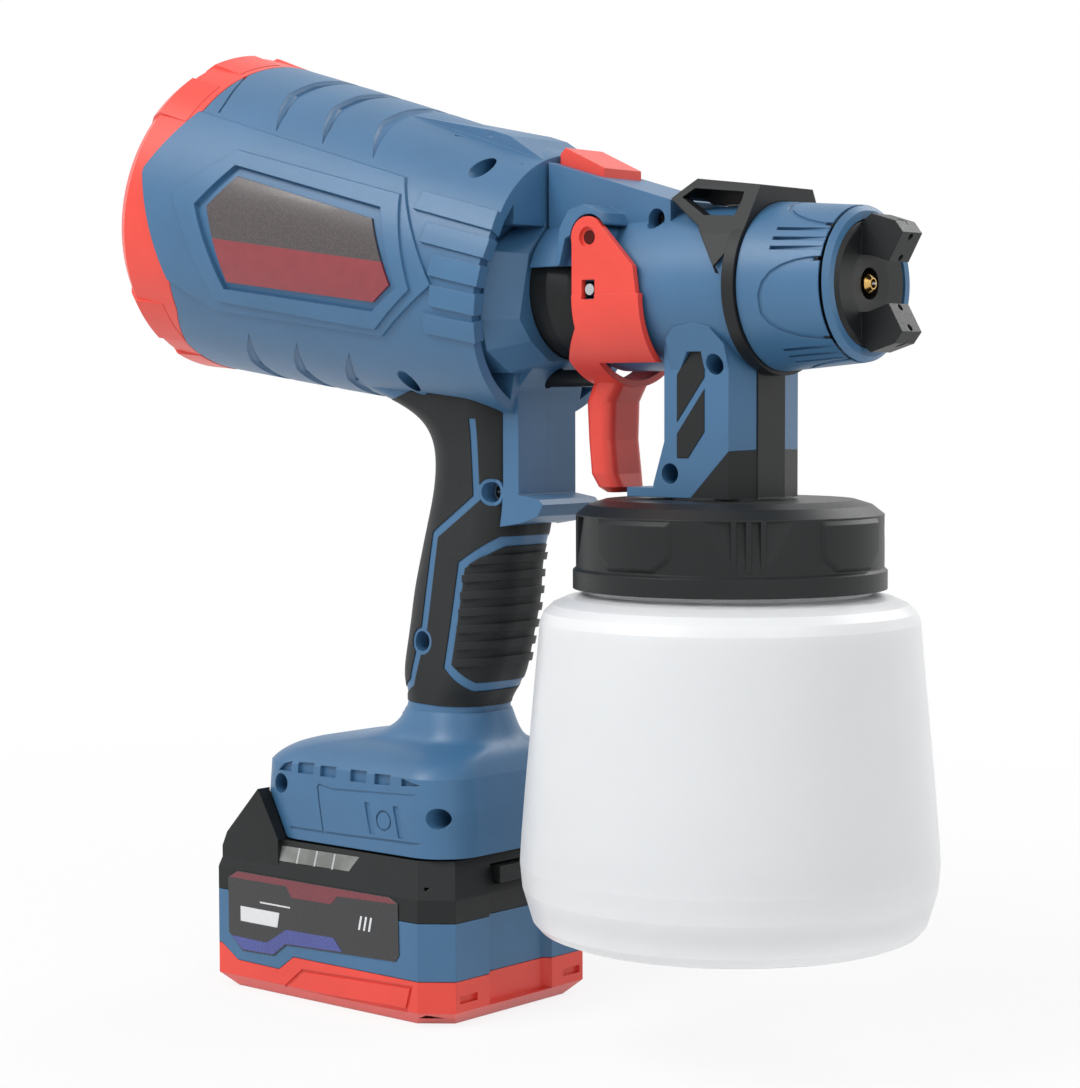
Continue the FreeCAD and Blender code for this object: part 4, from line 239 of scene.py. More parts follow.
@dataclass(frozen=True)
class SoftRubber:
    """Thermoplastic rubber moulded over the shell: matt, with a faint dry bloom."""

    name: str
    colour: str

    def build(self) -> Material:
        """Builds the material."""
        return MouldedPlastic(self.name, self.colour, roughness=0.62, grain_mm=0.5, depth_mm=0.02,
                              edge_mm=0.5, mottle=0.12, sheen=0.1, shine=0.3).build()


@dataclass(frozen=True)
class MilkyPlastic:
    """Blow-moulded natural polythene: light goes in and scatters, so it glows softly white."""

    name: str
    colour: str
    roughness: float
    scatter_mm: float

    def build(self) -> Material:
        """Builds the material."""
        surface = Surface.start(self.name)
        colour = surface.tint(surface.noise(25.0), self.colour, (0.3, 0.985), (0.7, 1.0))
        return surface.close({
            "Base Color": colour, "Roughness": self.roughness, "IOR": 1.51,
            "Subsurface Weight": 0.6, "Subsurface Radius": (1.0, 0.95, 0.9),
            "Subsurface Scale": self.scatter_mm * MM,
            "Normal": surface.bump(surface.noise(900.0, 1.0), 0.01)})


@dataclass(frozen=True)
class MachinedMetal:
    """Turned or drawn metal: bright, with fine tool lines."""

    name: str
    colour: str
    roughness: float
    line_mm: float = 0.25

    def build(self) -> Material:
        """Builds the material."""
        surface = Surface.start(self.name)
        lines = surface.noise(1 / (self.line_mm * MM))
        return surface.close({
            "Base Color": surface.tint(lines, self.colour, (0.3, 0.9), (0.7, 1.0)),
            "Metallic": 1.0,
            "Roughness": surface.spread(lines, self.roughness * 0.7, self.roughness * 1.4),
            "Normal": surface.bump(lines, 0.01)})


@dataclass(frozen=True)
class OpenFoam:
    """Reticulated filter foam: dull, with painted shade darkening the open cells between its
    threads.
    """

    name: str
    colour: str
    cell_mm: float

    def build(self) -> Material:
        """Builds the material."""
        surface = Surface.start(self.name)
        cells = surface.cells(self.cell_mm)
        return surface.close({
            # Base Color is darkest at each cell's middle: painted shade in the foam's open cells.
            "Base Color": surface.tint(cells, self.colour, (0.1, 0.3), (0.6, 1.4)),
            "Roughness": 0.9, "Normal": surface.bump(cells, 0.4, 1.0)})


@dataclass(frozen=True)
class ClearPlastic:
    """Smoked clear polycarbonate over the charge lights: glossy and half see-through."""

    name: str
    colour: str
    roughness: float = 0.12

    def build(self) -> Material:
        """Builds the material."""
        surface = Surface.start(self.name)
        return surface.close({
            "Base Color": surface.tint(surface.noise(120.0), self.colour, (0.35, 0.75),
                                       (0.65, 1.2)),
            "Roughness": self.roughness, "IOR": 1.58, "Transmission Weight": 0.35,
            "Coat Weight": 0.4, "Coat Roughness": 0.08})


@dataclass(frozen=True)
class TwoToneFilm:
    """Printed label film: a speckled upper field and a red lower one, split along a line."""

    name: str
    upper: str
    lower: str
    along: Point
    upward: Point
    start: Point
    slope: float
    drop_mm: float
    dot_mm: float = 0.7
    blur: float = 0.0001

    def build(self) -> Material:
        """Builds the material."""
        surface = Surface.start(self.name)
        tree = surface.tree
        lean = Vector(self.upward) - Vector(self.along) * self.slope
        offset = -Vector(self.start).dot(lean) + self.drop_mm * MM
        share = add_node(tree, "ShaderNodeVectorMath", {0: surface.place, 1: tuple(lean)},
                         operation="DOT_PRODUCT")
        height = add_node(tree, "ShaderNodeMath", {0: share.outputs["Value"], 1: offset},
                          operation="ADD")
        split = surface.spread(height.outputs[0], 0.0, 1.0, -self.blur, self.blur)
        speckle = surface.tint(surface.cells(self.dot_mm), self.upper, (0.15, 1.35), (0.5, 0.82))
        plain = surface.tint(surface.noise(260.0), self.lower, (0.3, 0.93), (0.7, 1.07))
        colour = add_node(tree, "ShaderNodeMix",
                          {MIX_SHARE: split, MIX_FIRST: plain, MIX_SECOND: speckle},
                          data_type="RGBA")
        return surface.close({
            "Base Color": colour.outputs[MIX_RESULT], "Roughness": 0.3, "IOR": PLASTIC_IOR,
            "Coat Weight": 0.35, "Coat Roughness": 0.12})


GUN_SCREWS = ((-16.0, 238.6), (7.4, 197.4), (-8.6, 166.9))

BLUE = MouldedPlastic("blue_filled_nylon", "3f6b91")
RED = MouldedPlastic("red_abs", "e8473a", roughness=0.36, depth_mm=0.006)
BLACK = MouldedPlastic("black_filled_nylon", "1a1c1d", roughness=0.42, mottle=0.1,
                       depth_mm=0.02, shine=0.3)
RUBBER = SoftRubber("black_soft_rubber", "1d2021")
# Steel pin with a painted colour: dark red stands for the shade of its recess and the red trigger
# reflected in it.
PIN_PAINTED_SHADE = MachinedMetal("oiled_steel_pin", "5a2624", 0.5)
MILKY = MilkyPlastic("milky_polythene", "f4f6f8", roughness=0.34, scatter_mm=9.0)
PALE = MouldedPlastic("pale_acetal", "b9bcbb", roughness=0.34, depth_mm=0.006)
LABEL = MouldedPlastic("printed_film", "6d2026", roughness=0.3, coat=0.5)
CLEAR = ClearPlastic("smoked_polycarbonate", "8c8f8c")
BOARD = MouldedPlastic("lacquered_circuit_board", "1f5a35", roughness=0.3, coat=0.5)
COPPER = MachinedMetal("enamelled_copper_wire", "b96a3c", 0.35, line_mm=0.6)
SLEEVE = MouldedPlastic("pvc_wire_sleeve", "b3261e", roughness=0.35)
WRAP = MouldedPlastic("shrink_wrap", "3b7aa6", roughness=0.25, coat=0.4)
STEEL = MachinedMetal("bright_steel", "c3c6c8", 0.28)
SPRING = MachinedMetal("spring_steel_wire", "b2b4b6", 0.25)
BRASS = MachinedMetal("turned_brass", "d8b169", 0.24)
FOAM = OpenFoam("open_cell_foam", "3d3f42", cell_mm=1.4)
SCREW_STEEL = MachinedMetal("blackened_screw_steel", "3a3b3d", 0.42)
BLACK_FILM = MouldedPlastic("black_printed_film", "1c1d20", 0.28, coat=0.4, depth_mm=0.003)
RED_PRINT = MouldedPlastic("dark_red_print", "70222f", 0.28, coat=0.4, depth_mm=0.003)
VIOLET_PRINT = MouldedPlastic("violet_print", "3f4a94", 0.28, coat=0.4, mottle=0.12,
                              depth_mm=0.003)
WHITE_PRINT = MouldedPlastic("white_print", "dfe1e3", 0.3, coat=0.4, depth_mm=0.003)

SLOT_FINISH = {
    "blue_plastic": BLUE, "red_plastic": RED, "black_plastic": BLACK, "soft_rubber": RUBBER,
    "milky_plastic": MILKY, "light_plastic": PALE, "label_print": LABEL,
    "clear_plastic": CLEAR, "circuit_board": BOARD, "copper_wire": COPPER,
    "wire_sleeve": SLEEVE, "cell_wrap": WRAP, "steel": STEEL, "spring_steel": SPRING,
    "brass": BRASS, "foam": FOAM,
}


@dataclass(frozen=True)
class Sheet:
    """A flat face that details are laid on: a is along it, b across it and lift off it."""

    origin: Point
    along: Point
    across: Point

    def point(self, a: float, b: float, lift: float) -> Vector:
        """Gives the place of a point.

        Args:
            a: millimetres along the face.
            b: millimetres across the face.
            lift: millimetres off the face.

        Returns:
            The place in metres.
        """
        along, across = Vector(self.along), Vector(self.across)
        normal = along.cross(across)
        return Vector(self.origin) + (along * a + across * b + normal * lift) * MM

    def across_scale(self, a: float) -> float:
        """Gives the millimetres that one step of b stands for."""
        return 1.0


@dataclass(frozen=True)
class Turned:
    """A round face that details are laid on: a is along its axis and b an angle in degrees."""

    origin: Point
    axis: Point
    zero: Point
    profile: tuple[Pair, ...]

    def radius(self, a: float) -> float:
        """Gives the radius at a station, in millimetres."""
        for (a0, r0), (a1, r1) in zip(self.profile, self.profile[1:]):
            if a <= a1:
                break
        return r0 + (r1 - r0) * (a - a0) / (a1 - a0)

    def point(self, a: float, b: float, lift: float) -> Vector:
        """Gives the place of a point.

        Args:
            a: millimetres along the axis.
            b: degrees round the axis from the zero direction.
            lift: millimetres off the face.

        Returns:
            The place in metres.
        """
        axis, zero = Vector(self.axis), Vector(self.zero)
        side = axis.cross(zero)
        turn = math.radians(b)
        out = zero * math.cos(turn) + side * math.sin(turn)
        return Vector(self.origin) + (axis * a + out * (self.radius(a) + lift)) * MM

    def across_scale(self, a: float) -> float:
        """Gives the millimetres that one degree stands for."""
        return math.radians(1.0) * self.radius(a)


Face = Sheet | Turned


def linked(name: str, data: bpy.types.ID) -> Thing:
    """Makes an object of its data and puts it into the scene."""
    thing = bpy.data.objects.new(name, data)
    bpy.context.scene.collection.objects.link(thing)
    return thing


def mesh_object(name: str, form: Form, rough: bool = True) -> Thing:
    """Turns a form into an object.

    Args:
        name: the object's name.
        form: the form, which is freed.
        rough: whether its corners are still to be joined and its faces turned outwards.

    Returns:
        The object.
    """
    if rough:
        bmesh.ops.remove_doubles(form, verts=form.verts, dist=CLEAN_DISTANCE)
        bmesh.ops.recalc_face_normals(form, faces=form.faces)
    mesh = bpy.data.meshes.new(name)
    form.to_mesh(mesh)
    form.free()
    return linked(name, mesh)


def add_slab(form: Form, low: list[list[Vector]], high: list[list[Vector]]) -> None:
    """Adds a closed slab between two grids of points.

    Args:
        form: form that gets the slab.
        low: rows of points of its lower side.
        high: rows of points of its upper side.
    """
    rows, columns = len(low), len(low[0])
    under = [[form.verts.new(p) for p in row] for row in low]
    over = [[form.verts.new(p) for p in row] for row in high]
    for i in range(rows - 1):
        for j in range(columns - 1):
            form.faces.new((under[i][j], under[i + 1][j], under[i + 1][j + 1], under[i][j + 1]))
            form.faces.new((over[i][j], over[i][j + 1], over[i + 1][j + 1], over[i + 1][j]))
    for i in range(rows - 1):
        for j in (0, columns - 1):
            form.faces.new((under[i][j], over[i][j], over[i + 1][j], under[i + 1][j]))
    for j in range(columns - 1):
        for i in (0, rows - 1):
            form.faces.new((under[i][j], under[i][j + 1], over[i][j + 1], over[i][j]))


def dense(path: Path, face: Face, closed: bool = False) -> list[Pair]:
    """Adds points to a path so that it follows a round face.

    Args:
        path: corners as (a, b).
        face: face that it lies on.
        closed: whether the last corner joins the first.

    Returns:
        The denser path.
    """
    corners = list(path) + ([path[0]] if closed else [])
    points = [corners[0]]
    for (a0, b0), (a1, b1) in zip(corners, corners[1:]):
        scale = face.across_scale((a0 + a1) / 2)
        parts = max(1, round(math.hypot(a1 - a0, (b1 - b0) * scale) / LONGEST_RUN))
        points += [(a0 + (a1 - a0) * i / parts, b0 + (b1 - b0) * i / parts)
                   for i in range(1, parts + 1)]
    return points[:-1] if closed else points


def add_ribbon(form: Form, face: Face, path: Path, width: float, low: float, high: float,
               closed: bool = False) -> None:
    """Adds a closed ribbon of one width that follows a path on a face.

    Args:
        form: form that gets the ribbon.
        face: face that it follows.
        path: corners as (a, b).
        width: its width in millimetres.
        low: lift of its lower side in millimetres.
        high: lift of its upper side in millimetres.
        closed: whether it is a loop.
    """
    points = dense(path, face, closed)
    count = len(points)
    rows = []
    for i, (a, b) in enumerate(points):
        before = points[i - 1] if closed or i else points[i]
        after = points[(i + 1) % count] if closed or i < count - 1 else points[i]
        scale = face.across_scale(a)
        back = Vector((a - before[0], (b - before[1]) * scale))
        ahead = Vector((after[0] - a, (after[1] - b) * scale))
        back = back.normalized() if back.length > 1e-9 else ahead.normalized()
        ahead = ahead.normalized() if ahead.length > 1e-9 else back
        run = (back + ahead).normalized()
        reach = width / 2 / max(RIBBON_MITRE, run.dot(ahead))
        step = Vector((-run.y, run.x)) * reach
        rows.append([form.verts.new(face.point(a + step.x * s, b + step.y * s / scale, lift))
                     for s, lift in ((1, low), (-1, low), (-1, high), (1, high))])
    join_rings(form, rows, closed)


def join_rings(form: Form, rows: list[list[bmesh.types.BMVert]], closed: bool = False) -> None:
    """Joins rings of corners into one closed bar.

    Args:
        form: form that has the corners.
        rows: the rings in order.
        closed: whether the last ring joins the first.
    """
    runs = zip(rows, rows[1:] + rows[:1]) if closed else zip(rows, rows[1:])
    for first, second in runs:
        for k, corner in enumerate(first):
            j = (k + 1) % len(first)
            form.faces.new((corner, first[j], second[j], second[k]))
    if not closed:
        form.faces.new(rows[0])
        form.faces.new(rows[-1])


def add_plate(form: Form, face: Face, outline: Path, low: float, high: float) -> None:
    """Adds a closed plate on a face, with corners as (a, b), between two lifts."""
    join_rings(form, [[form.verts.new(face.point(a, b, lift)) for a, b in outline]
                      for lift in (low, high)])


def settle(thing: Thing) -> Thing:
    """Applies an object's modifiers, so that its mesh is plain.

    Args:
        thing: the object.

    Returns:
        The same object.
    """
    graph = bpy.context.evaluated_depsgraph_get()
    mesh = bpy.data.meshes.new_from_object(thing.evaluated_get(graph))
    thing.modifiers.clear()
    old = thing.data
    thing.data = mesh
    mesh.name = old.name
    bpy.data.meshes.remove(old)
    return thing


def carve(thing: Thing, form: Form) -> Thing:
    """Cuts closed forms out of an object.

    Args:
        thing: object that is cut.
        form: the cutters, which are freed.

    Returns:
        The cut object.
    """
    cutter = mesh_object("cutter", form)
    cut = thing.modifiers.new("carve", "BOOLEAN")
    cut.operation = "DIFFERENCE"
    cut.solver = "EXACT"
    cut.use_self = True
    cut.object = cutter
    settle(thing)
    bpy.data.objects.remove(cutter)
    return thing


def keep_shading(thing: Thing, node: str) -> Thing:
    """Gives the untouched faces of a carved copy the smooth shading of their CAD node.

    Args:
        thing: the carved copy.
        node: the CAD node that it was copied from.

    Returns:
        The copy.
    """
    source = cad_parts[node].data
    points = [v.co.copy() for v in source.vertices]
    faces = [tuple(p.vertices) for p in source.polygons]
    starts = [p.loop_start for p in source.polygons]
    shades = [n.vector.copy() for n in source.corner_normals]
    tree = BVHTree.FromPolygons(points, faces)
    mesh = thing.data
    mesh.shade_smooth()
    mesh.set_sharp_from_angle(angle=math.radians(SHARP_DEGREES))
    normals = [n.vector.copy() for n in mesh.corner_normals]
    for polygon in mesh.polygons:
        for loop in polygon.loop_indices:
            place = mesh.vertices[mesh.loops[loop].vertex_index].co
            inside = place.lerp(polygon.center, INWARD)
            _, facing, index, distance = tree.find_nearest(inside)
            if distance > SHADE_REACH or facing.dot(polygon.normal) < SAME_WAY:
                continue
            weights = poly_3d_calc([points[v] for v in faces[index]], place)
            shade = Vector()
            for k, weight in enumerate(weights):
                shade += shades[starts[index] + k] * weight
            if shade.length > 1e-6:
                normals[loop] = shade.normalized()
    mesh.normals_split_custom_set(normals)
    return thing


def finish(thing: Thing, body: str, material: Material,
           replaces: Iterable[str] = (), smooth_degrees: float = 35.0) -> Thing:
    """Gives a piece its material, its shading and the body that it moves with.

    Args:
        thing: the piece.
        body: the CAD body that it rides on.
        material: its finish.
        replaces: CAD nodes that it stands for.
        smooth_degrees: edges sharper than this stay sharp; zero keeps the shading it has.

    Returns:
        The piece.
    """
    mesh = thing.data
    mesh.materials.clear()
    mesh.materials.append(material)
    if smooth_degrees > 0:
        mesh.shade_smooth()
        mesh.set_sharp_from_angle(angle=math.radians(smooth_degrees))
    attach(thing, body)
    if replaces:
        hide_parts(*replaces)
    log.info("%s rides on %s, %d faces", thing.name, body, len(mesh.polygons))
    return thing


def carved_node(node: str, name: str, form: Form, body: str, slot: str,
                finish_of: Finishes) -> Thing:
    """Puts a copy of a CAD node with forms cut out of it in the node's place.

    Args:
        node: the CAD node.
        name: the copy's name.
        form: the cutters, which are freed.
        body: the CAD body that it rides on.
        slot: the record's material slot.
        finish_of: the finishes by slot.

    Returns:
        The carved copy.
    """
    whole = bmesh.new()
    whole.from_mesh(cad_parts[node].data)
    bmesh.ops.remove_doubles(whole, verts=whole.verts, dist=WELD_DISTANCE)
    thing = carve(mesh_object(name, whole, rough=False), form)
    keep_shading(thing, node)
    return finish(thing, body, finish_of[slot], (node,), 0.0)


class Half(Enum):
    """The two halves of the shells; the value is the sign of Y."""

    RIGHT = -1
    LEFT = 1


def at(x: float, y: float, z: float) -> Point:
    """Gives a place in metres from millimetres measured from the cup's axis."""
    return ((x + CUP_X) * MM, y * MM, z * MM)


def mirrored(form: Form, half: Half) -> Form:
    """Turns a form made for the right half into one for the given half."""
    if half is Half.LEFT:
        bmesh.ops.scale(form, vec=MIRROR, verts=form.verts)
    return form


def add_twin(form: Form) -> None:
    """Adds the mirror image on the left side.

    Args:
        form: form on the right side.
    """
    twin = mirrored(form.copy(), Half.LEFT)
    mesh = bpy.data.meshes.new("twin")
    twin.to_mesh(mesh)
    form.from_mesh(mesh)
    twin.free()
    bpy.data.meshes.remove(mesh)


def inside_depth(point: Pair, outline: Path) -> float:
    """Gives how far a point lies inside a convex outline; it is negative outside.

    Args:
        point: the point.
        outline: corners, anticlockwise.

    Returns:
        The distance to the nearest side's line.
    """
    depth = math.inf
    for (x0, y0), (x1, y1) in zip(outline, list(outline[1:]) + [outline[0]]):
        run = math.hypot(x1 - x0, y1 - y0)
        cross = (x1 - x0) * (point[1] - y0) - (y1 - y0) * (point[0] - x0)
        depth = min(depth, cross / run)
    return depth


def add_pad(form: Form, face: Face, outline: Path, rise: float, bevel: float) -> None:
    """Adds a raised pad with bevelled edges that follows a face.

    Args:
        form: form that gets the pad.
        face: face that it lies on.
        outline: convex outline as (a, b), anticlockwise.
        rise: how far it stands off the face, in millimetres.
        bevel: width of its sloping edge, in millimetres.
    """
    middle = sum(a for a, b in outline) / len(outline)
    scale = face.across_scale(middle)
    flat = [(a, b * scale) for a, b in outline]
    grid = []
    for values in zip(*flat):
        low, high = min(values), max(values)
        count = max(2, math.ceil((high - low) / PAD_SQUARE))
        grid.append([low + (high - low) * i / count for i in range(count + 1)])
    under, over = [], []
    for a in grid[0]:
        lifts = [inside_depth((a, b), flat) / bevel * rise for b in grid[1]]
        under.append([face.point(a, b / scale, -PAD_SUNK) for b in grid[1]])
        over.append([face.point(a, b / scale, max(PAD_SKIRT, min(rise, lift)))
                     for b, lift in zip(grid[1], lifts)])
    add_slab(form, under, over)


def add_line(form: Form, points: Sequence[Point], normal: Point, width: float,
             low: float, high: float) -> None:
    """Adds a closed straight-sided strip along points in space.

    Args:
        form: form that gets the strip.
        points: places in millimetres from the cup's axis.
        normal: direction that it faces.
        width: its width in millimetres.
        low: lift of its lower side in millimetres.
        high: lift of its upper side in millimetres.
    """
    out = Vector(normal).normalized()
    places = [Vector(p) for p in points]
    rows = []
    for i, place in enumerate(places):
        back = (place - places[i - 1]).normalized() if i else None
        ahead = (places[i + 1] - place).normalized() if i < len(places) - 1 else None
        run = ((back or ahead) + (ahead or back)).normalized()
        reach = width / 2 / max(LINE_MITRE, run.dot(ahead or back))
        side = run.cross(out).normalized() * reach
        rows.append([form.verts.new(at(*(place + side * s + out * lift)))
                     for s, lift in ((1, low), (-1, low), (-1, high), (1, high))])
    join_rings(form, rows)


def place_copies(thing: Thing, material: Material, places: Sequence[Point],
                 step_degrees: float = 0.0) -> Thing:
    """Puts copies of a piece that is drawn at the origin at each place with Geometry Nodes.

    Args:
        thing: the piece.
        material: its finish.
        places: where the copies go, in metres.
        step_degrees: how far each copy is turned about Z from the one before it.

    Returns:
        The copies as one plain piece.
    """
    mesh = bpy.data.meshes.new("places")
    mesh.from_pydata(list(places), [], [])
    marks = linked("places", mesh)
    tree = bpy.data.node_groups.new("place_copies", "GeometryNodeTree")
    face = tree.interface
    keys = [face.new_socket(name, in_out="INPUT", socket_type=f"NodeSocket{kind}").identifier
            for name, kind in (("Piece", "Geometry"), ("Places", "Object"), ("Step", "Float"))]
    face.new_socket("Copies", in_out="OUTPUT", socket_type="NodeSocketGeometry")
    start = add_node(tree, "NodeGroupInput").outputs
    points = add_node(tree, "GeometryNodeObjectInfo", {"Object": start["Places"]})
    number = add_node(tree, "GeometryNodeInputIndex")
    angle = add_node(tree, "ShaderNodeMath", {0: number.outputs[0], 1: start["Step"]},
                     operation="MULTIPLY")
    turn = add_node(tree, "FunctionNodeAxisAngleToRotation",
                    {"Axis": Z_AXIS, "Angle": angle.outputs[0]})
    copies = add_node(tree, "GeometryNodeInstanceOnPoints",
                      {"Points": points.outputs["Geometry"], "Instance": start["Piece"],
                       "Rotation": turn.outputs["Rotation"]})
    real = add_node(tree, "GeometryNodeRealizeInstances", {0: copies.outputs["Instances"]})
    dressed = add_node(tree, "GeometryNodeSetMaterial",
                       {"Geometry": real.outputs[0], "Material": material})
    add_node(tree, "NodeGroupOutput", {0: dressed.outputs["Geometry"]})
    modifier = thing.modifiers.new("copies", "NODES")
    modifier.node_group = tree
    modifier[keys[1]] = marks
    modifier[keys[2]] = math.radians(step_degrees)
    settle(thing)
    bpy.data.objects.remove(marks)
    return thing


@dataclass
class PowerUnit:
    """The blue turbine housing: scoops, grooves and the marks on its foot."""

    origin: Point = (-200.0, 0.0, 249.5)
    axis: Point = (0.9778, 0.0, -0.2096)
    upward: Point = (0.2096, 0.0, 0.9778)
    rear_radius: float = 51.2
    taper: float = 11.6
    belly: float = 2.4
    length: float = 141.5
    top_tips: tuple[float, ...] = (47.5, 67.1, 87.9)
    bottom_tips: tuple[float, ...] = (47.5, 68.0, 89.6)
    scoop: tuple[tuple[float, float, float], ...] = (
        (48.5, 0.0, 0.15), (44.0, -2.6, -1.0), (38.0, -6.2, -2.6), (29.0, -10.0, -4.8),
        (15.0, -10.8, -5.5), (0.0, -11.0, -5.6), (-4.0, -11.0, -5.6))
    scoop_depth: float = 1.7
    groove: float = 0.6
    foot_side: float = 33.2
    clearance: float = 1.5
    stations: int = 24
    groove_path: tuple[Pair, ...] = (
        (21.5, 47.5), (20.4, 42.0), (17.3, 32.0), (14.2, 22.8), (12.6, 12.0), (12.2, -3.0))
    hood_line: tuple[Point, ...] = (
        (-90.2, -16.2, 266.7), (-78.4, -13.2, 266.4), (-61.0, -19.0, 256.6))
    foot_lines: tuple[tuple[tuple[Pair, ...], float], ...] = (
        (((-134.0, 68.2), (-131.4, 53.3)), 0.6),
        (((-133.8, 68.6), (-127.4, 67.7), (-95.7, 69.0), (-87.0, 69.6)), 0.6),
        (((-146.0, 53.9), (-125.4, 54.0), (-88.6, 54.7)), 0.7))
    foot_bars: tuple[tuple[Pair, ...], ...] = (
        ((-113.5, 65.2), (-111.2, 65.2), (-109.2, 55.6), (-111.5, 55.6)),
        ((-101.5, 65.2), (-99.2, 65.2), (-97.0, 55.6), (-99.3, 55.6)))
    foot_ring: tuple[float, float, float] = (-105.4, 60.3, 2.9)
    label_slope: float = 0.0709
    label_split: Pair = (39.1, -3.6)
    screws: tuple[Pair, ...] = (
        (-71.5, 255.4), (-101.0, 193.4), (-78.2, 160.0), (-105.9, 113.6), (-85.6, 62.6),
        (-150.5, 67.4))

    def barrel(self) -> Turned:
        """Gives the barrel's round face; 90 degrees is the side that faces the camera."""
        stations = []
        for i in range(self.stations + 1):
            share = i / self.stations
            radius = self.rear_radius - self.taper * share + self.belly * share * (1 - share)
            stations.append((self.length * share, radius))
        return Turned(at(*self.origin), self.axis, self.upward, tuple(stations))

    def add_scoops(self, form: Form) -> None:
        """Adds the cutters of the pointed finger scoops over and under the barrel.

        Args:
            form: form that gets them.
        """
        face = self.barrel()
        for tips, flip in ((self.top_tips, False), (self.bottom_tips, True)):
            for tip in tips:
                low, high = [], []
                for turn, back, front in self.scoop:
                    b = 180.0 - turn if flip else turn
                    stations = [tip + back + (front - back) * s for s in (0.0, 0.35, 1.0)]
                    depths = (-0.1, -0.55 * self.scoop_depth, -self.scoop_depth)
                    share = min(1.0, 0.15 + (front - back) / 4.0)
                    low.append([face.point(a, b, d * share) for a, d in zip(stations, depths)])
                    high.append([face.point(a, b, 2 * self.clearance) for a in stations])
                add_slab(form, low, high)

    def add_grooves(self, form: Form) -> None:
        """Adds the cutters of the fine grooves on the barrel, the hood and the foot.

        Args:
            form: form that gets them.
        """
        depth, high = -self.groove, self.clearance
        add_ribbon(form, self.barrel(), self.groove_path, 0.8, depth, high)
        add_line(form, self.hood_line, (0.3, -0.5, 0.8), 0.7, depth, 2.0)
        foot = Sheet(at(0.0, -self.foot_side, 0.0), X_AXIS, Z_AXIS)
        for path, width in self.foot_lines:
            add_ribbon(form, foot, path, width, depth, high)
        for outline in self.foot_bars:
            add_plate(form, foot, outline, depth, high)
        x, z, radius = self.foot_ring
        turns = [math.radians(degrees) for degrees in range(0, 360, 15)]
        ring = [(x + radius * math.cos(t), z + radius * math.sin(t)) for t in turns]
        add_ribbon(form, foot, ring, 0.6, depth, high, closed=True)

    def shells(self, finish_of: Finishes) -> None:
        """Cuts the scoops and grooves into both halves of the housing.

        Args:
            finish_of: the finishes by slot.
        """
        for half in Half:
            side = half.name.lower()
            form = bmesh.new()
            self.add_scoops(form)
            self.add_grooves(form)
            carved_node(f"housing_{side}", f"barrel_shell_{side}", mirrored(form, half),
                        "power_unit", "blue_plastic", finish_of)

    def build(self, finish_of: Finishes) -> None:
        """Builds the housing's halves and prints the side plates in two tones.

        Args:
            finish_of: the finishes by slot.
        """
        self.shells(finish_of)
        a, height = self.label_split
        film = TwoToneFilm("printed_side_plate", "4b4344", "8a2e36", self.axis, self.upward,
                           at(*self.origin), self.label_slope, self.label_slope * a - height)
        dress("label_plates", film.build())


@dataclass
class CupRing:
    """The black cup ring: four bevelled pads, and between them hollows with three ribs."""

    radius: float = 43.7
    foot: float = 140.0
    edge: float = 155.2
    pads: int = 4
    first_pad: float = -92.0
    pad_half: tuple[Pair, ...] = ((154.9, 17.3), (144.6, 17.3), (140.9, 10.6))
    pad_rise: float = 0.9
    pad_bevel: float = 1.2
    hollow_depth: float = 1.8
    hollow_reach: float = 22.0
    rib_width: float = 1.5
    rib_step: float = 5.3

    def face(self) -> Turned:
        """Gives the ring's wall about the origin; minus 90 degrees faces the camera's side."""
        return Turned((0.0, 0.0, 0.0), Z_AXIS, X_AXIS,
                      ((self.foot, self.radius), (self.edge, self.radius)))

    def add_hollow(self, form: Form, middle: float) -> None:
        """Adds the cutter of one flat hollow, which gets deeper towards the top.

        Args:
            form: form that gets the cutter.
            middle: degrees round the ring of its middle.
        """
        turn = math.radians(middle)
        out = Vector((math.cos(turn), math.sin(turn), 0.0))
        side = Vector((-out.y, out.x, 0.0)) * self.hollow_reach
        low, high = [[[Vector(at(p.x, p.y, z)) for p in (out * reach - side, out * reach + side)]
                      for reach in (near, self.radius + 6.0)]
                     for z, near in ((self.foot + 0.2, self.radius + 0.05),
                                     (self.edge - 0.2, self.radius - self.hollow_depth))]
        add_slab(form, low, high)

    def build(self, finish_of: Finishes) -> None:
        """Builds the ring.

        Args:
            finish_of: the finishes by slot.
        """
        step = 360.0 / self.pads
        form = bmesh.new()
        for i in range(self.pads):
            self.add_hollow(form, self.first_pad + step * (i + 0.5))
        carved_node("cup_ring", "cup_ring_body", form, "lid_ring", "black_plastic", finish_of)
        pad, ribs = bmesh.new(), bmesh.new()
        half = [(a, self.first_pad + b) for a, b in self.pad_half]
        mirror = [(a, self.first_pad - b) for a, b in reversed(self.pad_half)]
        add_pad(pad, self.face(), half + mirror, self.pad_rise, self.pad_bevel)
        reach = math.degrees(self.rib_width / 2 / self.radius)
        low, high = self.foot + 1.2, self.edge - 0.2
        for k in (-1, 0, 1):
            b = self.first_pad + step / 2 + k * self.rib_step
            add_plate(ribs, self.face(), [(low, b - reach), (high, b - reach), (high, b + reach),
                                          (low, b + reach)], -3.0, 0.0)
        black = finish_of["black_plastic"]
        for name, form in (("cup_ring_pads", pad), ("cup_ring_ribs", ribs)):
            copies = place_copies(mesh_object(name, form), black,
                                  [at(0.0, 0.0, 0.0)] * self.pads, step)
            finish(copies, "lid_ring", black)


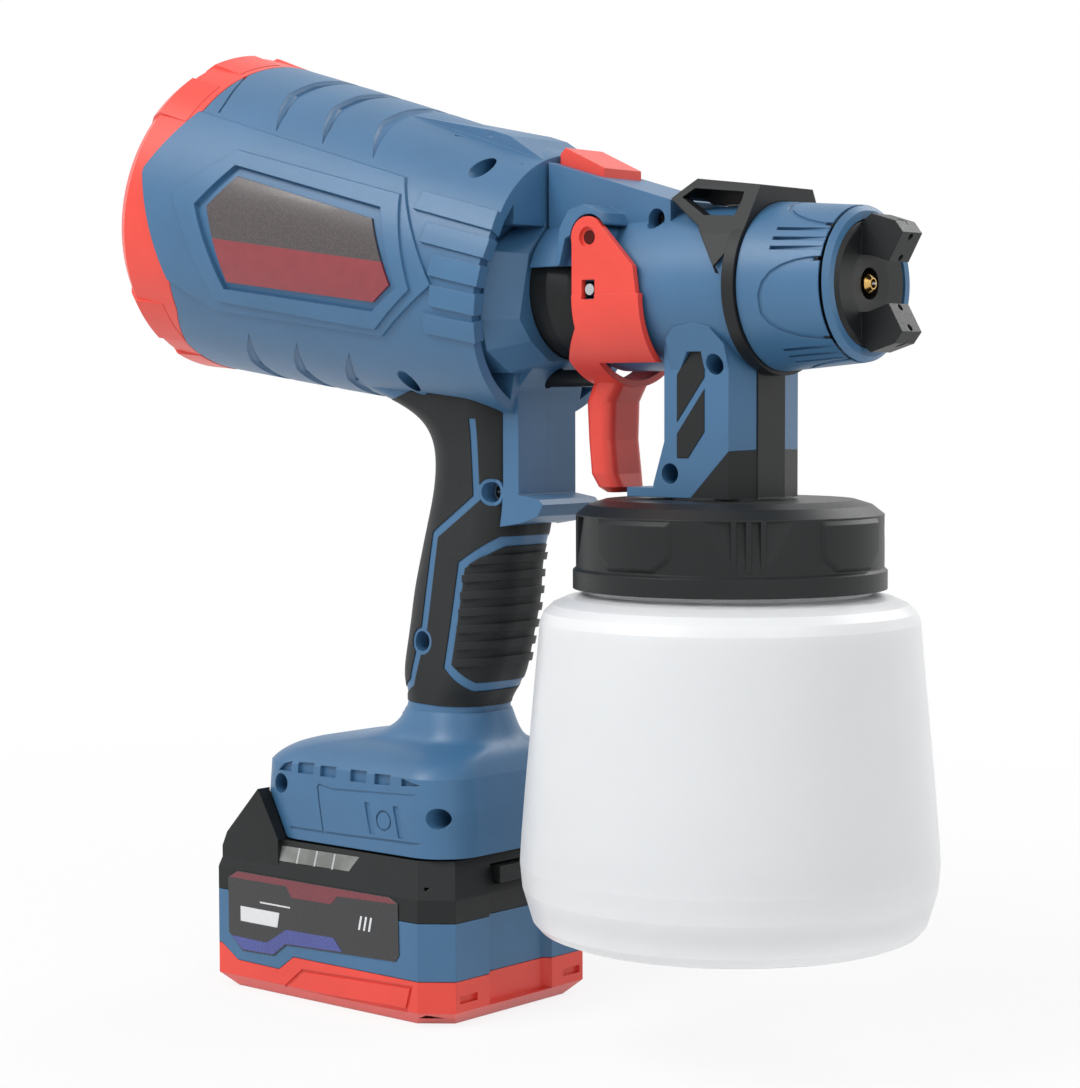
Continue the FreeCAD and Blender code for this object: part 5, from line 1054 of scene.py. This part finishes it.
@dataclass
class NozzleNut:
    """The blue ring nut: a groove behind its lip and a shallow arch between the rib groups."""

    height: float = 218.9
    back: float = 19.2
    front: float = 47.0
    back_radius: float = 23.5
    front_radius: float = 21.0
    lip: float = 45.0
    arches: int = 4
    arch: tuple[Pair, ...] = (
        (44.8, 73.0), (40.5, 73.6), (36.7, 75.4), (33.0, 78.6), (29.9, 83.0), (27.6, 89.5),
        (26.4, 97.6), (26.4, 110.0), (28.0, 117.5), (31.1, 123.8), (35.5, 129.2), (40.0, 132.4),
        (44.8, 133.9))

    def face(self) -> Turned:
        """Gives the nut's wall; 90 degrees is the side that faces the camera."""
        return Turned(at(0.0, 0.0, self.height), X_AXIS, Z_AXIS,
                      ((self.back, self.back_radius), (self.front, self.front_radius)))

    def build(self, finish_of: Finishes) -> None:
        """Builds the nut.

        Args:
            finish_of: the finishes by slot.
        """
        form = bmesh.new()
        lip = [(self.lip, b) for b in range(0, 360, 4)]
        add_ribbon(form, self.face(), lip, 1.0, -0.9, 2.0, closed=True)
        for i in range(self.arches):
            path = [(a, b + 90.0 * i) for a, b in self.arch]
            add_ribbon(form, self.face(), path, 1.3, -0.5, 2.0)
        carved_node("ring_nut", "ring_nut_body", form, "nut", "blue_plastic", finish_of)


@dataclass
class BatteryPack:
    """The battery's printed labels and the lights behind its window."""

    side: float = 36.8
    film: float = 0.3
    ink: float = 0.06
    outline: tuple[Pair, ...] = (
        (-170.7, 35.8), (-166.3, 38.3), (-99.4, 38.3), (-95.9, 36.6), (-95.5, 21.0), (-97.0, 19.0),
        (-144.3, 17.4), (-150.0, 13.3), (-164.3, 12.9), (-170.6, 18.2))
    band: tuple[Pair, ...] = (
        (-170.3, 35.9), (-166.2, 38.1), (-99.5, 38.1), (-96.2, 36.5), (-121.5, 35.7),
        (-124.3, 32.9), (-141.8, 32.7), (-144.0, 36.0))
    motif: tuple[Pair, ...] = (
        (-169.6, 17.2), (-153.2, 17.0), (-144.2, 22.3), (-123.3, 22.6), (-119.6, 18.7),
        (-144.6, 17.7), (-150.2, 13.6), (-164.1, 13.3))
    marks: tuple[tuple[Pair, ...], ...] = (
        ((-156.0, 29.2), (-142.4, 29.2), (-142.4, 29.7), (-156.0, 29.7)),
        ((-165.0, 22.4), (-148.2, 22.4), (-147.2, 27.2), (-165.0, 27.2)))
    bar: tuple[Pair, ...] = ((0.0, 26.6), (0.8, 26.6), (1.8, 31.0), (1.0, 31.0))
    bar_places: tuple[float, ...] = (-112.6, -110.5, -108.4)
    light: tuple[Pair, ...] = ((0.0, 4.9), (0.7, 4.9), (0.7, 9.8), (0.0, 9.8))
    lights: tuple[float, ...] = (-141.4, -133.6, -125.8)

    def build(self, finish_of: Finishes) -> None:
        """Builds the labels and the window's bars.

        Args:
            finish_of: the finishes by slot.
        """
        sheet = Sheet(at(0.0, -self.side, 0.0), X_AXIS, Z_AXIS)
        bars = [[(x + a, b) for a, b in self.bar] for x in self.bar_places]
        top = self.film + self.ink
        for name, outlines, low, high, look, replaced in (
                ("pack_label", [self.outline], -0.2, self.film, BLACK_FILM, ("battery_labels",)),
                ("pack_label_band", [self.band], 0.2, top, RED_PRINT, ()),
                ("pack_label_motif", [self.motif], 0.2, top, VIOLET_PRINT, ()),
                ("pack_label_marks", bars + list(self.marks), 0.2, top, WHITE_PRINT, ())):
            form = bmesh.new()
            for outline in outlines:
                add_plate(form, sheet, outline, low, high)
            add_twin(form)
            finish(mesh_object(name, form), "battery", look.build(), replaced)
        slope = Sheet(at(0.0, -self.side, 38.6), X_AXIS, (0.0, 0.293, 0.956))
        form = bmesh.new()
        for x in self.lights:
            add_plate(form, slope, [(x + a, b) for a, b in self.light], -0.6, 0.08)
        finish(mesh_object("charge_window_bars", form), "battery",
               finish_of["light_plastic"])


@dataclass
class CaseScrews:
    """Pan-head case screws with a cross recess, one at the bottom of each well."""

    head_radius: float = 2.7
    head_height: float = 1.4
    seat: float = 8.4
    sides: int = 24
    profile: tuple[Pair, ...] = ((0.0, 0.0), (0.55, 0.02), (0.8, 0.2), (0.95, 0.5), (1.0, 1.0))
    cross: Pair = (1.6, 0.32)
    cross_floor: float = 0.6

    def head(self, name: str) -> Thing:
        """Turns one head at the origin, facing the camera's side, with its cross cut in."""
        form = bmesh.new()
        rings = []
        turns = [math.tau * k / self.sides for k in range(self.sides)]
        for share, drop in self.profile:
            radius = self.head_radius * share
            y = -self.head_height * (1 - drop)
            rings.append([form.verts.new((radius * math.cos(t) * MM, y * MM,
                                          radius * math.sin(t) * MM))
                          for t in (turns if share else turns[:1])])
        tip = rings.pop(0)[0]
        for k in range(self.sides):
            j = (k + 1) % self.sides
            form.faces.new((tip, rings[0][k], rings[0][j]))
            for inner, outer in zip(rings, rings[1:]):
                form.faces.new((inner[k], outer[k], outer[j], inner[j]))
        form.faces.new(list(reversed(rings[-1])))
        cross = bmesh.new()
        face = Sheet((0.0, 0.0, 0.0), X_AXIS, Z_AXIS)
        for a, b in (self.cross, self.cross[::-1]):
            add_plate(cross, face, [(-a, -b), (a, -b), (a, b), (-a, b)], self.cross_floor, 4.0)
        return carve(mesh_object(name, form), cross)

    def build(self, groups: Iterable[tuple[str, str, Path]]) -> None:
        """Builds the screw heads of each body.

        Args:
            groups: for each body the piece's name, the body and its places as (x, z).
        """
        steel = SCREW_STEEL.build()
        for name, body, places in groups:
            marks = [at(x, -self.seat, z) for x, z in places]
            finish(place_copies(self.head(name), steel, marks), body, steel)


@dataclass
class Studio:
    """Plain pale floor, soft lamps and the camera at the photograph's angle."""

    eye: Point = (0.5099, -0.5833, 0.1893)
    target: Point = (0.0094, 0.0, 0.1441)
    roll_degrees: float = -0.16
    lens_mm: float = 84.26
    sensor_mm: float = 36.0
    floor_width: float = 12.0
    room_light: float = 0.5
    lamp_aim: Point = (0.0, 0.0, 0.16)
    lamps: tuple[tuple[str, Point, float, float], ...] = (
        ("key_lamp", (-0.5, -1.3, 1.5), 1.0, 24.0),
        ("fill_lamp", (1.5, -0.5, 0.9), 1.0, 6.0),
        ("back_lamp", (0.3, 1.3, 1.1), 0.9, 9.0))

    def facing(self, place: Point, target: Point) -> Matrix:
        """Gives the placement of a camera or lamp that looks from a place at a target."""
        look = (Vector(target) - Vector(place)).to_track_quat("-Z", "Y")
        return Matrix.Translation(place) @ look.to_matrix().to_4x4()

    def camera(self) -> None:
        """Places the camera that was worked out from the photograph."""
        data = bpy.data.cameras.new("camera")
        data.sensor_fit = "VERTICAL"
        data.sensor_height = self.sensor_mm
        data.lens = self.lens_mm
        data.clip_end = 60.0
        camera = linked("camera", data)
        turn = Matrix.Rotation(math.radians(self.roll_degrees), 4, "Z")
        camera.matrix_world = self.facing(self.eye, self.target) @ turn
        bpy.context.scene.camera = camera

    def floor(self) -> None:
        """Lays the pale floor, which looks white and keeps a faint shadow."""
        half = self.floor_width / 2
        mesh = bpy.data.meshes.new("floor")
        mesh.from_pydata([(-half, -half, 0), (half, -half, 0), (half, half, 0),
                          (-half, half, 0)], [], [(0, 1, 2, 3)])
        floor = linked("floor", mesh)
        surface = Surface.start("white_paper_sweep")
        tree = surface.tree
        tone = surface.tint(surface.noise(300.0), "ffffff", (0.0, 0.80), (1.0, 0.82))
        matt = add_node(tree, "ShaderNodeBsdfDiffuse", {"Color": tone})
        white = add_node(tree, "ShaderNodeEmission", {"Color": WHITE, "Strength": 1.0})
        reach = add_node(tree, "ShaderNodeVectorMath", {0: surface.place}, operation="LENGTH")
        clean = surface.spread(reach.outputs["Value"], 0.86, 1.0, 0.15, 0.75)
        mix = add_node(tree, "ShaderNodeMixShader",
                       {0: self.seen(tree, clean), 1: matt.outputs["BSDF"],
                        2: white.outputs["Emission"]})
        tree.links.new(mix.outputs["Shader"], surface.output.inputs["Surface"])
        mesh.materials.append(surface.material)

    def seen(self, tree: Tree, share: float | Socket) -> Socket:
        """Gives a share for rays that come from the camera, a gloss or a clear piece.

        Args:
            tree: node tree that gets the nodes.
            share: value for those rays; the others get none.

        Returns:
            The socket with the share.
        """
        rays = add_node(tree, "ShaderNodeLightPath").outputs
        total = rays["Is Camera Ray"]
        for operation, value in (("MAXIMUM", rays["Is Glossy Ray"]),
                                 ("MAXIMUM", rays["Is Transmission Ray"]), ("MULTIPLY", share)):
            total = add_node(tree, "ShaderNodeMath", {0: total, 1: value},
                             operation=operation).outputs[0]
        return total

    def world(self) -> None:
        """Lights the object evenly from a pale room that looks white."""
        world = bpy.data.worlds.new("studio")
        world.use_nodes = True
        tree = world.node_tree
        tree.nodes.clear()
        room, white = [add_node(tree, "ShaderNodeBackground",
                                {"Color": WHITE, "Strength": strength}).outputs[0]
                       for strength in (self.room_light, 1.0)]
        mix = add_node(tree, "ShaderNodeMixShader", {0: self.seen(tree, 1.0), 1: room, 2: white})
        output = add_node(tree, "ShaderNodeOutputWorld", {"Surface": mix.outputs["Shader"]})
        output.is_active_output = True
        bpy.context.scene.world = world

    def build(self) -> None:
        """Builds the whole studio."""
        self.camera()
        self.floor()
        self.world()
        for name, place, width, power in self.lamps:
            data = bpy.data.lights.new(name, "AREA")
            data.shape = "SQUARE"
            data.size = width
            data.energy = power
            linked(name, data).matrix_world = self.facing(place, self.lamp_aim)
        bpy.context.scene.view_settings.view_transform = "Standard"
        log.info("studio: floor, world, %d lamps and camera", len(self.lamps))


def dress(node: str, material: Material) -> None:
    """Gives a CAD node its finish."""
    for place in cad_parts[node].material_slots:
        place.material = material
    log.info("%s wears %s", node, material.name)


def dress_nodes() -> Finishes:
    """Gives every CAD node the finish of its material slot.

    Returns:
        The finishes by slot.
    """
    made = {slot: look.build() for slot, look in SLOT_FINISH.items()}
    for name, node in sorted(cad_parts.items()):
        dress(name, made[node.material_slots[0].material.name])
    # The trigger pin gets steel with painted shade and a painted red reflection from its recess.
    dress("trigger_pin", PIN_PAINTED_SHADE.build())
    return made


def main() -> None:
    """Builds the studio and dresses the sprayer."""
    logging.basicConfig(level=logging.INFO, format="%(name)s: %(message)s")
    Studio().build()
    finish_of = dress_nodes()
    unit = PowerUnit()
    unit.build(finish_of)
    CupRing().build(finish_of)
    NozzleNut().build(finish_of)
    BatteryPack().build(finish_of)
    CaseScrews().build((("housing_screw_heads", "power_unit", unit.screws),
                        ("gun_screw_heads", "spray_gun", GUN_SCREWS)))


if __name__ == "__main__":
    main()
